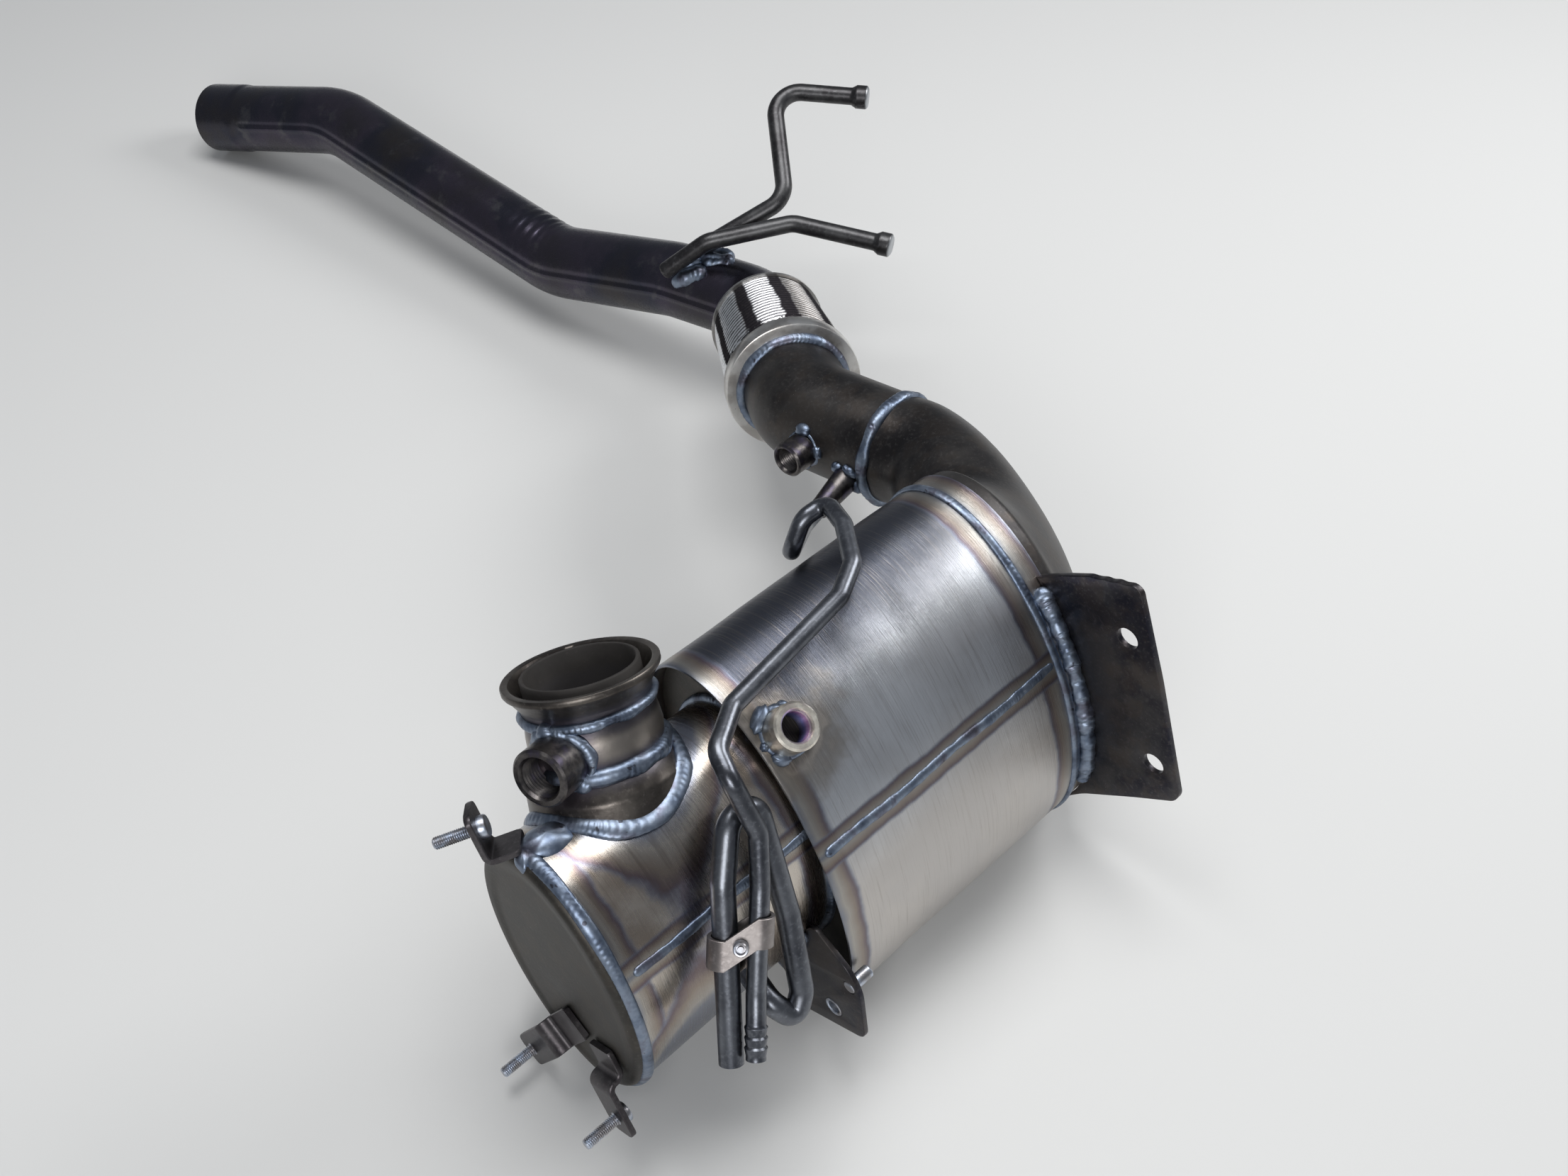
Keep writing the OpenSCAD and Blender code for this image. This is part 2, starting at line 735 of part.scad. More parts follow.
module flex_ring_rear() {
    color("silver")
        at_flex()
            rotate_extrude($fn = 96)
                polygon([[flex_neck_d / 2 - 3, flex_len - 3.8], [braid_d / 2 - 2, flex_len - 3.8],
                    [braid_d / 2 - 2, flex_len - 1.5], [flex_neck_d / 2 + 1, flex_len + 2],
                    [flex_neck_d / 2 - 1.5, flex_len + 2], [flex_neck_d / 2 - 1.5, flex_len],
                    [flex_neck_d / 2 - 3, flex_len]]);
}

// Downpipe and hangers

swage = 0.75;

module downpipe() {
    inner_d = pipe_d - 2 * pipe_t;
    start = [flex_end_p + flex_dir * slip];
    route = concat(start, [for (i = [1 : len(pipe_route) - 1]) pipe_route[i]]);
    color("darkslategray") {
        swept(concat([for (i = [0 : len(route) - 2]) route[i]], [tail_p - tail_dir * (tail_len - 4)]), pipe_bend_r,
            pipe_d, inner_d, pipe_n);
        aim(tail_p - tail_dir * tail_len, tail_dir)
            difference() {
                cylinder(d = pipe_d + 2 * swage, h = tail_len, $fn = 96);
                translate([0, 0, -1])
                    cylinder(d = inner_d + 2 * swage, h = tail_len + 2, $fn = 96);
            }
    }
}

module hanger_rod(route) {
    n = len(route);
    d = unit(route[n - 1] - route[n - 2]);
    swept(route, hanger_bend_r, hanger_d, 0, tube_n);
    aim(route[n - 1] - d * 2, d)
        rotate_extrude($fn = 48)
            polygon([[0, 0], [hanger_d / 2 - 0.5, 0], [bulb_d / 2, 3], [bulb_d / 2, bulb_len - 1],
                [bulb_d / 2 - 1.5, bulb_len + 1], [0, bulb_len + 1]]);
}

module hanger_rod_upper() {
    color("dimgray")
        hanger_rod(upper_rod_route);
}

module hanger_rod_lower() {
    color("dimgray")
        hanger_rod(lower_rod_route);
}

// Weld between a rod's foot and the pipe under it
module rod_weld(route) {
    d = unit(route[1] - route[0]);
    foot = route[0] + d * 7;
    a = pipe_route[1];
    axis = unit(pipe_route[2] - a);
    near = a + axis * ((foot - a) * axis);
    down = unit(near - foot);
    difference() {
        translate(foot + down * 4)
            sphere(r = 7, $fn = 48);
        aim(a - axis * 60, axis)
            cylinder(d = pipe_d + 2 * slip, h = 200, $fn = 96);
        aim(route[0] - d * 2, d)
            cylinder(d = hanger_d + 2 * slip, h = 40, $fn = 64);
    }
}

module hanger_welds() {
    color("steelblue") {
        rod_weld(upper_rod_route);
        rod_weld(lower_rod_route);
    }
}

// Brackets

bracket_x0 = dpf_len - bracket_t;
bracket_mid = [-85.5, -13];
bracket_row = unit([-6.7, 67.2]);

module mounting_plate() {
    color("darkslategray")
        difference() {
            translate([bracket_x0, 0, 0])
                rotate([90, 0, 90])
                    linear_extrude(bracket_t)
                        difference() {
                            polygon([[-20, 44], [-76, 50], [-101, 49], [-104, 46], [-100, 0], [-92, -62], [-88, -66],
                                [-64, -71], [-12, -84]]);
                            for (k = [-0.5, 0.5])
                                translate(bracket_mid + bracket_row * k * bracket_pitch)
                                    circle(d = bracket_hole, $fn = 48);
                        }
            oval_bar(bracket_x0 - 1, dpf_len + 1, dpf_hz + slip, dpf_hy + slip);
        }
}

module mounting_plate_weld() {
    color("steelblue")
        intersection() {
            oval_ring(bracket_x0 - plate_bead_w, bracket_x0, dpf_hz, dpf_hy, 5, 0);
            translate([bracket_x0 - plate_bead_w - 1, -80, -70])
                cube([8, 66, 112]);
        }
}

lower_x0 = -7;
lower_t = 2.5;
lower_hole = [-25, -78];
nut_bore = 6.6;
lower_pin = [-45, -58];

module lower_bracket() {
    color("darkslategray")
        difference() {
            translate([lower_x0, 0, 0])
                rotate([90, 0, 90])
                    linear_extrude(lower_t)
                        difference() {
                            polygon([[-10, -30], [-36, -28], [-50, -48], [-51, -60], [-40, -90], [2, -90], [12, -45]]);
                            translate(lower_hole)
                                circle(d = nut_bore, $fn = 48);
                            translate(lower_pin)
                                circle(d = 6 + 2 * slip, $fn = 48);
                        }
            at_doc()
                oval_bar(doc_x0, doc_x1, doc_hz + slip, doc_hy + slip);
        }
}

module lower_bracket_nut() {
    color("slategray")
        translate([lower_x0 + lower_t, lower_hole[0], lower_hole[1]])
            rotate([0, 90, 0])
                difference() {
                    cylinder(d = 13, h = 4, $fn = 64);
                    translate([0, 0, -1])
                        cylinder(d = nut_bore, h = 6, $fn = 48);
                }
}

module lower_bracket_weld() {
    color("steelblue")
        intersection() {
            at_doc()
                oval_ring(lower_x0 - 4, lower_x0, doc_hz, doc_hy, 4, 0);
            translate([lower_x0 - 10, -36, -60])
                cube([20, 34, 34]);
        }
}

module lower_bracket_pin() {
    color("lightgray")
        translate([lower_x0 - 3, lower_pin[0], lower_pin[1]])
            rotate([0, 90, 0]) {
                cylinder(d = 6, h = 15, $fn = 48);
                cylinder(d = 9, h = 3, $fn = 48);
            }
}

// Pressure tubes

module rear_pressure_tube() {
    n = len(rear_tube_route);
    tip = rear_tube_route[n - 1];
    d = unit(tip - rear_tube_route[n - 2]);
    color("slategray") {
        swept(rear_tube_route, tube_bend_r, rear_tube_d, rear_tube_d - 2 * tube_wall, tube_n);
        for (k = [0 : 2])
            aim(tip - d * (4 + 4 * k), d)
                difference() {
                    cylinder(d1 = rear_tube_d + 1.2, d2 = rear_tube_d - 0.4, h = 3, $fn = 48);
                    translate([0, 0, -1])
                        cylinder(d = rear_tube_d - 1.2, h = 5, $fn = 48);
                }
    }
}

module front_pressure_tube() {
    color("slategray")
        swept(front_tube_route, tube_bend_r, front_tube_d, front_tube_d - 2 * tube_wall, tube_n);
}

clip_w = 12;
clip_t = 1.5;
clip_leg = [rear_tube_route[len(rear_tube_route) - 3], rear_tube_route[len(rear_tube_route) - 2]];
clip_p = (clip_leg[0] + clip_leg[1]) / 2;
clip_dir = unit(clip_leg[1] - clip_leg[0]);
// The front tube's centre in the clip's own plane
clip_far = let (along = unit(front_tube_route[1] - front_tube_route[0]),
    t = ((clip_p - front_tube_route[0]) * clip_dir) / (along * clip_dir))
    front_tube_route[0] + along * t;

module clip_slab(grow) {
    r1 = rear_tube_d / 2 + grow;
    r2 = front_tube_d / 2 + grow;
    hull() {
        aim(clip_p - clip_dir * clip_w / 2, clip_dir)
            cylinder(r = r1, h = clip_w, $fn = 32);
        aim(clip_far - clip_dir * clip_w / 2, clip_dir)
            cylinder(r = r2, h = clip_w, $fn = 32);
    }
}

module tube_clip() {
    color("slategray")
        difference() {
            clip_slab(clip_t + 0.6);
            for (p = [clip_p, clip_far])
                aim(p - clip_dir * clip_w, clip_dir)
                    cylinder(d = (p == clip_p ? rear_tube_d : front_tube_d) + 1.2, h = 2 * clip_w, $fn = 48);
        }
}

module clip_screw() {
    side = unit(cross(clip_dir, clip_far - clip_p));
    mid = (clip_p + clip_far) / 2;
    out = side[1] < 0 ? side : -side;
    color("lightgray")
        aim(mid + out * (max(rear_tube_d, front_tube_d) / 2 + clip_t + 0.6), out)
            cylinder(d = 6, h = 3.5, $fn = 48);
}

// Stud tabs on the end cap

cap_x = doc_x0 - cap_skirt - cap_t;
tab_w = 16;
shank_d = stud_d + 1;
tab_off = 7;
upper_tab_y = -4;
upper_tab_z = doc_z + sqrt(pow(doc_hz * cos(doc_turn), 2) + pow(doc_hy * sin(doc_turn), 2)) + 0.4;
upper_ear_turn = 35;
left_tab_yz = [11, -24];
left_tab_turn = -33;
left_tab_reach = 50;
right_tab_yz = [-8, -33];
right_tab_turn = -92;
right_tab_reach = 26;

// A joggled strip: foot on the cap, step out, ear with a stud hole
module stud_tab(yz, turn, reach) {
    translate([cap_x, yz[0], yz[1]])
        rotate([turn, 0, 0])
            difference() {
                union() {
                    translate([-tab_t, -6, -tab_w / 2])
                        cube([tab_t, reach * 0.55, tab_w]);
                    translate([-tab_off - tab_t, reach * 0.55 - 6 - tab_t, -tab_w / 2])
                        cube([tab_off + tab_t, tab_t, tab_w]);
                    translate([-tab_off - tab_t, reach * 0.55 - 6 - tab_t, -tab_w / 2])
                        cube([tab_t, reach * 0.45 + 6 + tab_t + tab_w / 2, tab_w]);
                }
                translate([-tab_off - tab_t - 1, reach, 0])
                    rotate([0, 90, 0])
                        cylinder(d = shank_d + 2 * slip, h = tab_off + 2 * tab_t, $fn = 48);
            }
}

// A stud with its head behind the ear
module stud() {
    rotate([0, -90, 0]) {
        cylinder(d = shank_d, h = tab_t, $fn = 48);
        cylinder(d = stud_d, h = stud_len + tab_t, $fn = 48);
        translate([0, 0, -3])
            cylinder(d = stud_d * 1.8, h = 3, $fn = 48);
    }
}

module at_tab_stud(yz, turn, reach) {
    translate([cap_x, yz[0], yz[1]])
        rotate([turn, 0, 0])
            translate([-tab_off, reach, 0])
                children();
}

module left_stud_tab() {
    color("dimgray")
        stud_tab(left_tab_yz, left_tab_turn, left_tab_reach);
}

module right_stud_tab() {
    color("dimgray")
        stud_tab(right_tab_yz, right_tab_turn, right_tab_reach);
}

module left_stud() {
    color("lightsteelblue")
        at_tab_stud(left_tab_yz, left_tab_turn, left_tab_reach)
            stud();
}

module right_stud() {
    color("lightsteelblue")
        at_tab_stud(right_tab_yz, right_tab_turn, right_tab_reach)
            stud();
}

module at_upper_ear() {
    translate([doc_x0 - 8, upper_tab_y, upper_tab_z])
        rotate([0, 0, -upper_ear_turn])
            children();
}

module upper_stud_tab() {
    color("dimgray") {
        difference() {
            translate([doc_x0 - 10, upper_tab_y - tab_w / 2, upper_tab_z - 4])
                cube([18, tab_w, tab_t + 4]);
            at_doc()
                oval_bar(doc_x0 - 20, doc_x1, doc_hz + 1.8 + slip, doc_hy + 1.8 + slip);
        }
        at_upper_ear()
            difference() {
                translate([-tab_t, -tab_w / 2, 0])
                    cube([tab_t, tab_w, 22]);
                translate([-tab_t - 1, 0, 13])
                    rotate([0, 90, 0])
                        cylinder(d = shank_d + 2 * slip, h = tab_t + 2, $fn = 48);
            }
    }
}

module upper_stud() {
    color("lightsteelblue")
        at_upper_ear()
            translate([0, 0, 13])
                stud();
}

laid() dpf_shell();
laid() dpf_seam_weld();
laid() dpf_front_plate();
laid() dpf_mat();
laid() dpf_core();
laid() dpf_rear_weld();
laid() dpf_temp_boss();
laid() dpf_temp_weld();
laid() doc_shell();
laid() doc_seam_weld();
laid() doc_rear_weld();
laid() doc_end_cap();
laid() doc_cap_weld();
laid() doc_mat();
laid() doc_core();
laid() inlet_rim();
laid() inlet_liner();
laid() neck_tube();
laid() neck_collar();
laid() neck_weld_upper();
laid() neck_weld_middle();
laid() neck_weld_lower();
laid() lambda_boss();
laid() lambda_weld();
laid() outlet_hood();
laid() outlet_joint_weld();
laid() outlet_pipe();
laid() outlet_temp_boss();
laid() outlet_temp_weld();
laid() pressure_boss();
laid() flex_ring_front();
laid() flex_weld();
laid() flex_braid();
laid() flex_bellows();
laid() flex_ring_rear();
laid() downpipe();
laid() hanger_rod_upper();
laid() hanger_rod_lower();
laid() hanger_welds();
laid() mounting_plate();
laid() mounting_plate_weld();
laid() lower_bracket();
laid() lower_bracket_nut();
laid() lower_bracket_weld();
laid() lower_bracket_pin();
laid() rear_pressure_tube();
laid() front_pressure_tube();
laid() tube_clip();
laid() clip_screw();
laid() upper_stud_tab();
laid() left_stud_tab();
laid() right_stud_tab();
laid() upper_stud();
laid() left_stud();
laid() right_stud();
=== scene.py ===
import math

import bmesh
import bpy
import numpy as np
from mathutils import Matrix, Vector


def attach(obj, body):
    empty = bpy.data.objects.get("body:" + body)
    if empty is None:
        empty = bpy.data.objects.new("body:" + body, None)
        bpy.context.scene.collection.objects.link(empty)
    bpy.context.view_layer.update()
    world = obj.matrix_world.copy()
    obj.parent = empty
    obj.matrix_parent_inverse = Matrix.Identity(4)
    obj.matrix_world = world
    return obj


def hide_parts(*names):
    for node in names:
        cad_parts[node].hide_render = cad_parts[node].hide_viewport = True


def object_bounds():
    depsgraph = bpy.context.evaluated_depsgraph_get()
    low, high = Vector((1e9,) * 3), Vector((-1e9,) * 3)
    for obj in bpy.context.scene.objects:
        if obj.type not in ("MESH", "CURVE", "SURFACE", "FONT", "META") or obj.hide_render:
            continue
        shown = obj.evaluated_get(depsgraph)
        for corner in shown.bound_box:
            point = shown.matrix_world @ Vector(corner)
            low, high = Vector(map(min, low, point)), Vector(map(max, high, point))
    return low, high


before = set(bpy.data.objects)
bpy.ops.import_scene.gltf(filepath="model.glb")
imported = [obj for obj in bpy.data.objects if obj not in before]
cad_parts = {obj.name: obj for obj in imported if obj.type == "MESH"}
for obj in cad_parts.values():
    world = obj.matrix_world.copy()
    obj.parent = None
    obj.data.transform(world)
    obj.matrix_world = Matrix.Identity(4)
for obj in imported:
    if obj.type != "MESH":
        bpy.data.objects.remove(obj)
loaded_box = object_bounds()


def unit(v):
    v = np.asarray(v, float)
    return v / np.linalg.norm(v)


def units(rows):
    return rows / np.linalg.norm(rows, axis=1)[:, None]


def square_to(v, d):
    """The direction of v, without its part along d."""
    v = np.asarray(v, float)
    return unit(v - d * (v @ d))


def about_x(a):
    """A turn about the x axis, as a matrix."""
    return np.array([[1, 0, 0], [0, math.cos(a), -math.sin(a)], [0, math.sin(a), math.cos(a)]])


# Sizes in millimetres, in the can's frame: x along the can, z along the oval's long axis, visible side at -y
LIE = math.radians(28.6)
SPIN = about_x(-LIE)
INLET = np.array([-36.5, 0.0, 112.0])
WALL, SLIP = 1.5, 0.2
DPF_LEN, DPF_HZ, DPF_HY = 159.0, 89.0, 52.0
DPF_SEAM_Z, DPF_RIM_X = 7.0, 147.0
DOC_X0, DOC_X1, DOC_HZ, DOC_HY = -93.0, 12.0, 64.0, 45.0
DOC_CENTRE, DOC_TURN = np.array([0, 0.5, 7.0]), math.radians(15)
DOC_SPIN = about_x(DOC_TURN)
DOC_SEAM_Z, CAP_X, PLATE_X = 22.0, DOC_X0 - 6, 8.0
NECK_R, COLLAR_TOP, COLLAR_END = 26.0, 37.0, 74.0
NECK_DIR = np.array([math.sin(math.radians(11)), 0, math.cos(math.radians(11))])
LAMBDA_AXIS = INLET - NECK_DIR * 27
LAMBDA_DIR = square_to([-0.87, -0.43, 0.25], NECK_DIR)
LAMBDA_FOOT = LAMBDA_AXIS + LAMBDA_DIR * NECK_R
DPF_BOSS = np.array([14, -DPF_HY * math.sqrt(1 - (57.5 / DPF_HZ) ** 2), 57.5])
DPF_BOSS_DIR = unit([0, DPF_BOSS[1] / DPF_HY**2, DPF_BOSS[2] / DPF_HZ**2])
OUTLET_R, FLEX_LEN, BRAID_PITCH = 28.0, 80.0, 3.4
JOINT = np.array([206.0, 86, 70])
FLEX = np.array([215.0, 166, 96])
FLEX_DIR = unit([0.526, 0.826, 0.2])
FLEX_END = FLEX + FLEX_DIR * FLEX_LEN
# The side of the braid that is painted with shade, towards the camera's right
SHADED_SIDE = square_to(np.array([0.717, -0.697, 0]) @ SPIN, FLEX_DIR)
OUTLET_BEND = FLEX - FLEX_DIR * 28
JOINT_DIR = unit(OUTLET_BEND - JOINT)
OUTLET_BOSS_DIR = square_to([-1, 0.1, 0.1], JOINT_DIR)
OUTLET_BOSS = JOINT + JOINT_DIR * 38 + OUTLET_BOSS_DIR * (OUTLET_R + SLIP)
PRESSURE_DIR = square_to([-0.93, -0.2, -0.3], JOINT_DIR)
PRESSURE_BASE = JOINT + JOINT_DIR * 11 + PRESSURE_DIR * (OUTLET_R + SLIP)
PRESSURE_LEN = 24
PRESSURE_END = PRESSURE_BASE + PRESSURE_DIR * (PRESSURE_LEN + SLIP)
PIPE_R, TAIL_LEN = 22.5, 32.0
PIPE_ROUTE = [FLEX_END + FLEX_DIR * SLIP, FLEX_END + FLEX_DIR * 24, [257, 306, 140], [235, 395, 163],
              [219, 582, 278], [179, 686, 305]]
REAR_TUBE_R, FRONT_TUBE_R = 4, 5
REAR_TUBE = [PRESSURE_END, PRESSURE_END + PRESSURE_DIR * 10, [80, 14, 93], [88, 8, 106], [100, 4, 108],
             [92, -14, 104], [78, -31, 96], [62, -38, 91], [-6, -46, 85], [-25, -57, 80], [-29, -65.5, 72],
             [-27, -65.5, 46], [-35, -65, 26], [-55, -65, -12], [-67, -67, -34]]
FRONT_TUBE = [[-73, -58, -35], [-45, -57, 32], [-31, -55, 52], [-18, -55, 50], [-24, -55, 0], [-32, -55, -34],
              [-39, -54, -43], [-45, -52, -31], [-43, -40, -20]]
CLIP_HALF, CLIP_LEAN = 6, 4.5
ROD_R, ROD_BULB = 5, 7.3
UPPER_ROD = [[262, 276, 157.5], [306, 241, 168], [342, 266, 222], [372, 231, 203]]
LOWER_ROD = [[236, 284, 154], [258, 262, 163], [298, 231, 156], [322, 191, 132]]
TAB_WIDTH, TAB_T, TAB_CORNER, TAB_EASE = 16, 2.5, 3.5, 0.35


def row(points):
    """Points of the can's frame, as they lie in the row frame, in metres."""
    return (np.asarray(points, float) - INLET) @ SPIN.T / 1000


class Shape:
    """Vertices and faces of one piece, in the can's frame."""

    def __init__(self):
        self.verts, self.faces = [], []

    def skin(self, loops, closed=False, caps=False, keep=None):
        """Joins loops of points: closed joins the last to the first, caps close the ends, keep picks faces."""
        loops = np.asarray(loops, float)
        m, n, _ = loops.shape
        first = len(self.verts)
        self.verts.extend(loops.reshape(-1, 3).tolist())
        for i in range(m if closed else m - 1):
            a, b = first + i * n, first + (i + 1) % m * n
            for k in range(n):
                face = (a + k, a + (k + 1) % n, b + (k + 1) % n, b + k)
                if keep is None or keep(np.mean([self.verts[v] for v in face], axis=0)):
                    self.faces.append(face)
        if caps:
            self.faces.append(tuple(range(first, first + n)))
            self.faces.append(tuple(range(first + (m - 1) * n, first + m * n)))
        return self

    def weld(self, name, *stands_for):
        self.piece(name, WELD, "weld_bead", *stands_for, sharp=180)

    def piece(self, name, material, slot, *stands_for, sharp=40):
        """Makes the object, with edges over sharp degrees left sharp."""
        mesh = bpy.data.meshes.new(name)
        mesh.from_pydata(row(self.verts).tolist(), [], self.faces)
        work = bmesh.new()
        work.from_mesh(mesh)
        bmesh.ops.delete(work, geom=[v for v in work.verts if not v.link_faces], context="VERTS")
        bmesh.ops.remove_doubles(work, verts=work.verts, dist=2e-6)
        bmesh.ops.recalc_face_normals(work, faces=work.faces)
        for face in work.faces:
            face.smooth = True
        for edge in work.edges:
            if len(edge.link_faces) == 2 and edge.calc_face_angle(0) > math.radians(sharp):
                edge.smooth = False
        work.to_mesh(mesh)
        work.free()
        mesh.materials.append(material)
        obj = bpy.data.objects.new(name, mesh)
        bpy.context.scene.collection.objects.link(obj)
        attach(obj, "root")
        if stands_for:
            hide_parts(*stands_for)


def waver(s, seed):
    """Smooth irregular values between about -1 and 1 along s."""
    return sum(np.sin(s * k + seed * 1.7 * k + seed) for k in (0.37, 0.83, 1.61, 2.9)) / 2.6


def basis(d):
    """Two directions square to d and to each other, and d."""
    d = unit(d)
    a = unit(np.cross(d, [0, 0, 1] if abs(d[2]) < 0.9 else [1, 0, 0]))
    return a, np.cross(d, a), d


def angles(n):
    return np.linspace(0, 2 * np.pi, n, endpoint=False)


def ring(n):
    t = angles(n)[:, None]
    return np.cos(t), np.sin(t)


def spokes(d, n):
    """Directions square to d, evenly round it."""
    a, b, _ = basis(d)
    c, s = ring(n)
    return a * c + b * s


def turned(profile, p, d, n=96, closed=True, uneven=0.0):
    """A turned piece: profile of (radius, height) about the axis through p along d."""
    d, out = unit(d), spokes(d, n)
    loops = []
    for r, h in profile:
        swell = 1 + uneven * waver(np.sin(angles(n)) * 3 + h * 0.2, 1)[:, None]
        loops.append(np.asarray(p) + d * h + out * max(r, 0.01) * swell)
    return Shape().skin(loops, closed=closed)


def run_of(points):
    """Distance along a line at each of its points."""
    return np.r_[0, np.cumsum(np.linalg.norm(np.diff(points, axis=0), axis=1))]


def resampled(t, s, points):
    return np.stack([np.interp(t, s, points[:, k]) for k in range(3)], axis=1)


def path(route, bend, step):
    """A route with its corners rounded, as evenly spaced points and directions."""
    p = [np.asarray(q, float) for q in route]
    d = [unit(p[i + 1] - p[i]) for i in range(len(p) - 1)]
    dense = [p[0]]
    for i in range(1, len(p) - 1):
        turn = math.acos(max(-1, min(1, d[i - 1] @ d[i])))
        room = 0.49 * min(np.linalg.norm(p[i] - p[i - 1]), np.linalg.norm(p[i + 1] - p[i]))
        back = min(bend * math.tan(turn / 2), room)
        r = back / math.tan(turn / 2)
        side = square_to(d[i], d[i - 1])
        hub = p[i] - d[i - 1] * back + side * r
        for a in np.linspace(0, turn, 17):
            dense.append(hub - side * r * math.cos(a) + d[i - 1] * r * math.sin(a))
    dense = np.array(dense + [p[-1]])
    s = run_of(dense)
    t = np.linspace(0, s[-1], max(2, int(s[-1] / step) + 1))
    points = resampled(t, s, dense)
    ways = units(np.gradient(points, axis=0))
    ways[0], ways[-1] = d[0], d[-1]
    return t, points, ways


def tube_loops(points, ways, radius):
    """Round loops along a path, without twist; radius has a value for each loop and angle."""
    v, carried = basis(ways[0])[0], []
    for w in ways:
        v = square_to(v, w)
        carried.append(v)
    v = np.array(carried)
    w = np.cross(ways, v)
    c, s = ring(radius.shape[1])
    return points[:, None] + radius[:, :, None] * (c * v[:, None] + s * w[:, None])


def tube(route, bend, outer, inner, n, step=2.0, swell=None):
    """A tube along a route, or a rod if inner is 0. swell(t, angle, length) is added to the outside radius."""
    t, points, ways = path(route, bend, step)
    r = np.full((len(t), n), float(outer))
    if swell:
        r = r + swell(t[:, None], angles(n)[None], t[-1])
    loops = tube_loops(points, ways, r)
    if not inner:
        return Shape().skin(loops, caps=True)
    inside = tube_loops(points, ways, np.minimum(inner, r - 0.6))
    return Shape().skin(np.concatenate([loops, inside[::-1]]), closed=True)


def bead(shape, points, ups, size, seed, closed=False, rough=0.12, ripple=0.08):
    """A weld bead of overlapping crescents, size (width, height, pitch), along points with normals ups."""
    width, height, pitch = size
    points, ups = np.asarray(points, float), np.asarray(ups, float)
    if closed:
        points, ups = np.r_[points, points[:1]], np.r_[ups, ups[:1]]
    s = run_of(points)
    count = max(8, int(s[-1] / (pitch / 7)))
    t = np.linspace(0, s[-1], count, endpoint=not closed)
    p, u = resampled(t, s, points), units(resampled(t, s, ups))
    if closed:
        ways = np.roll(p, -1, axis=0) - np.roll(p, 1, axis=0)
        pitch = s[-1] / max(1, round(s[-1] / pitch))
        taper = np.ones(count)
        around = 2 * np.pi * t / s[-1]
        sways = np.sin(around) * 4, np.cos(around) * 5, np.sin(around * 3) * 6
    else:
        ways = np.gradient(p, axis=0)
        reach = np.clip(np.minimum(t, s[-1] - t) / (width / 2), 0, 1)
        taper = np.sqrt(np.clip(1 - (1 - reach) ** 2, 0.02, 1))
        sways = t / 4, t / 4 + 3, t / 2
    side = units(np.cross(units(ways), u))
    wider, higher = waver(sways[0], seed) * rough, waver(sways[1], seed + 4) * rough
    theta = np.linspace(-0.12 * np.pi, 1.12 * np.pi, 13)
    phase = t[:, None] / pitch + 0.9 * np.cos(theta)[None] ** 2 + 4 * wider[:, None]
    scallop = np.sin(np.pi * np.mod(phase, 1.0) ** 0.75)
    w = (width / 2 * (1 + wider) * taper)[:, None] * (1 - ripple * 0.3 + ripple * 0.3 * scallop)
    deep = ripple * (1 + waver(sways[2], seed + 9))[:, None]
    h = (height * (1 + higher) * taper)[:, None] * (1 - deep + deep * scallop)
    across, up = (w * np.cos(theta))[:, :, None], (h * np.sin(theta))[:, :, None]
    loops = p[:, None] + side[:, None] * across + u[:, None] * up
    return shape.skin(loops, closed=closed, caps=not closed)


def ring_bead(name, node, centre, d, r, size, seed, rough, lean=0.0, sway=0.0):
    """A bead round an axis; lean tips it along d, and sway lets it wander along d."""
    out = spokes(d, 240)
    wander = d * (sway * waver(np.sin(angles(240)) * 4, seed))[:, None]
    bead(Shape(), centre - wander + out * r, out + d * lean, size, seed, True, rough).weld(name, node)


def lump(shape, p, up, along, size, seed):
    """A rounded blob of weld metal, size (length, width, height), sitting at p."""
    up = unit(up)
    along = square_to(along, up)
    c, s = ring(32)
    flat = along * c * size[0] / 2 + np.cross(up, along) * s * size[1] / 2
    loops = []
    for e in np.linspace(-0.35, np.pi / 2 - 0.03, 10):
        swell = (1 + 0.13 * waver(s * 3 + e, seed)) * math.cos(e)
        loops.append(np.asarray(p) + flat * swell + up * size[2] * math.sin(e))
    return shape.skin(loops, caps=True)


def last_outside(height, low, high):
    """The last value from low towards high at which height(value) is still over zero."""
    for _ in range(30):
        mid = (low + high) / 2
        low, high = (mid, high) if height(mid) > 0 else (low, mid)
    return low


def saddle(centre, d, r, lift, drop, n=160):
    """Points round a boss, each moved back along -d while drop(point) is over zero, with leaning normals."""
    points, ups = [], []
    for out in spokes(d, n):
        p = centre + out * r + d * lift
        points.append(p - d * last_outside(lambda s: drop(p - d * s), 0.0, 2 * lift + 30))
        ups.append(unit(d + 0.8 * out))
    return np.array(points), np.array(ups)


def lumps_round(shape, centre, d, r, drop, lumps):
    """Blobs round a boss: lumps of (degrees, length, width, height)."""
    points, ups = saddle(centre, d, r, 12, drop, 360)
    for k, (at, *size) in enumerate(lumps):
        lump(shape, points[at], ups[at], np.cross(ups[at], d), size, k + at)
    return shape


def oval(x, hz, hy, n):
    t = angles(n)
    return np.stack([np.full(n, float(x)), hy * np.sin(t), hz * np.cos(t)], axis=1)


def oval_up(q, hz, hy):
    return units(np.stack([np.zeros(len(q)), q[:, 1] / hy**2, q[:, 2] / hz**2], axis=1))


def seam_line(x0, x1, n, hz, hy, z, proud, sway, rate):
    """A slightly wavering line along an oval can's visible side."""
    y = -hy * math.sqrt(1 - (z / hz) ** 2) - proud
    return np.array([[x, y, z + sway * math.sin(x * rate)] for x in np.linspace(x0, x1, n)])


def doc_place(q):
    """From the catalyst oval's own frame to the can's."""
    return q @ DOC_SPIN.T + DOC_CENTRE


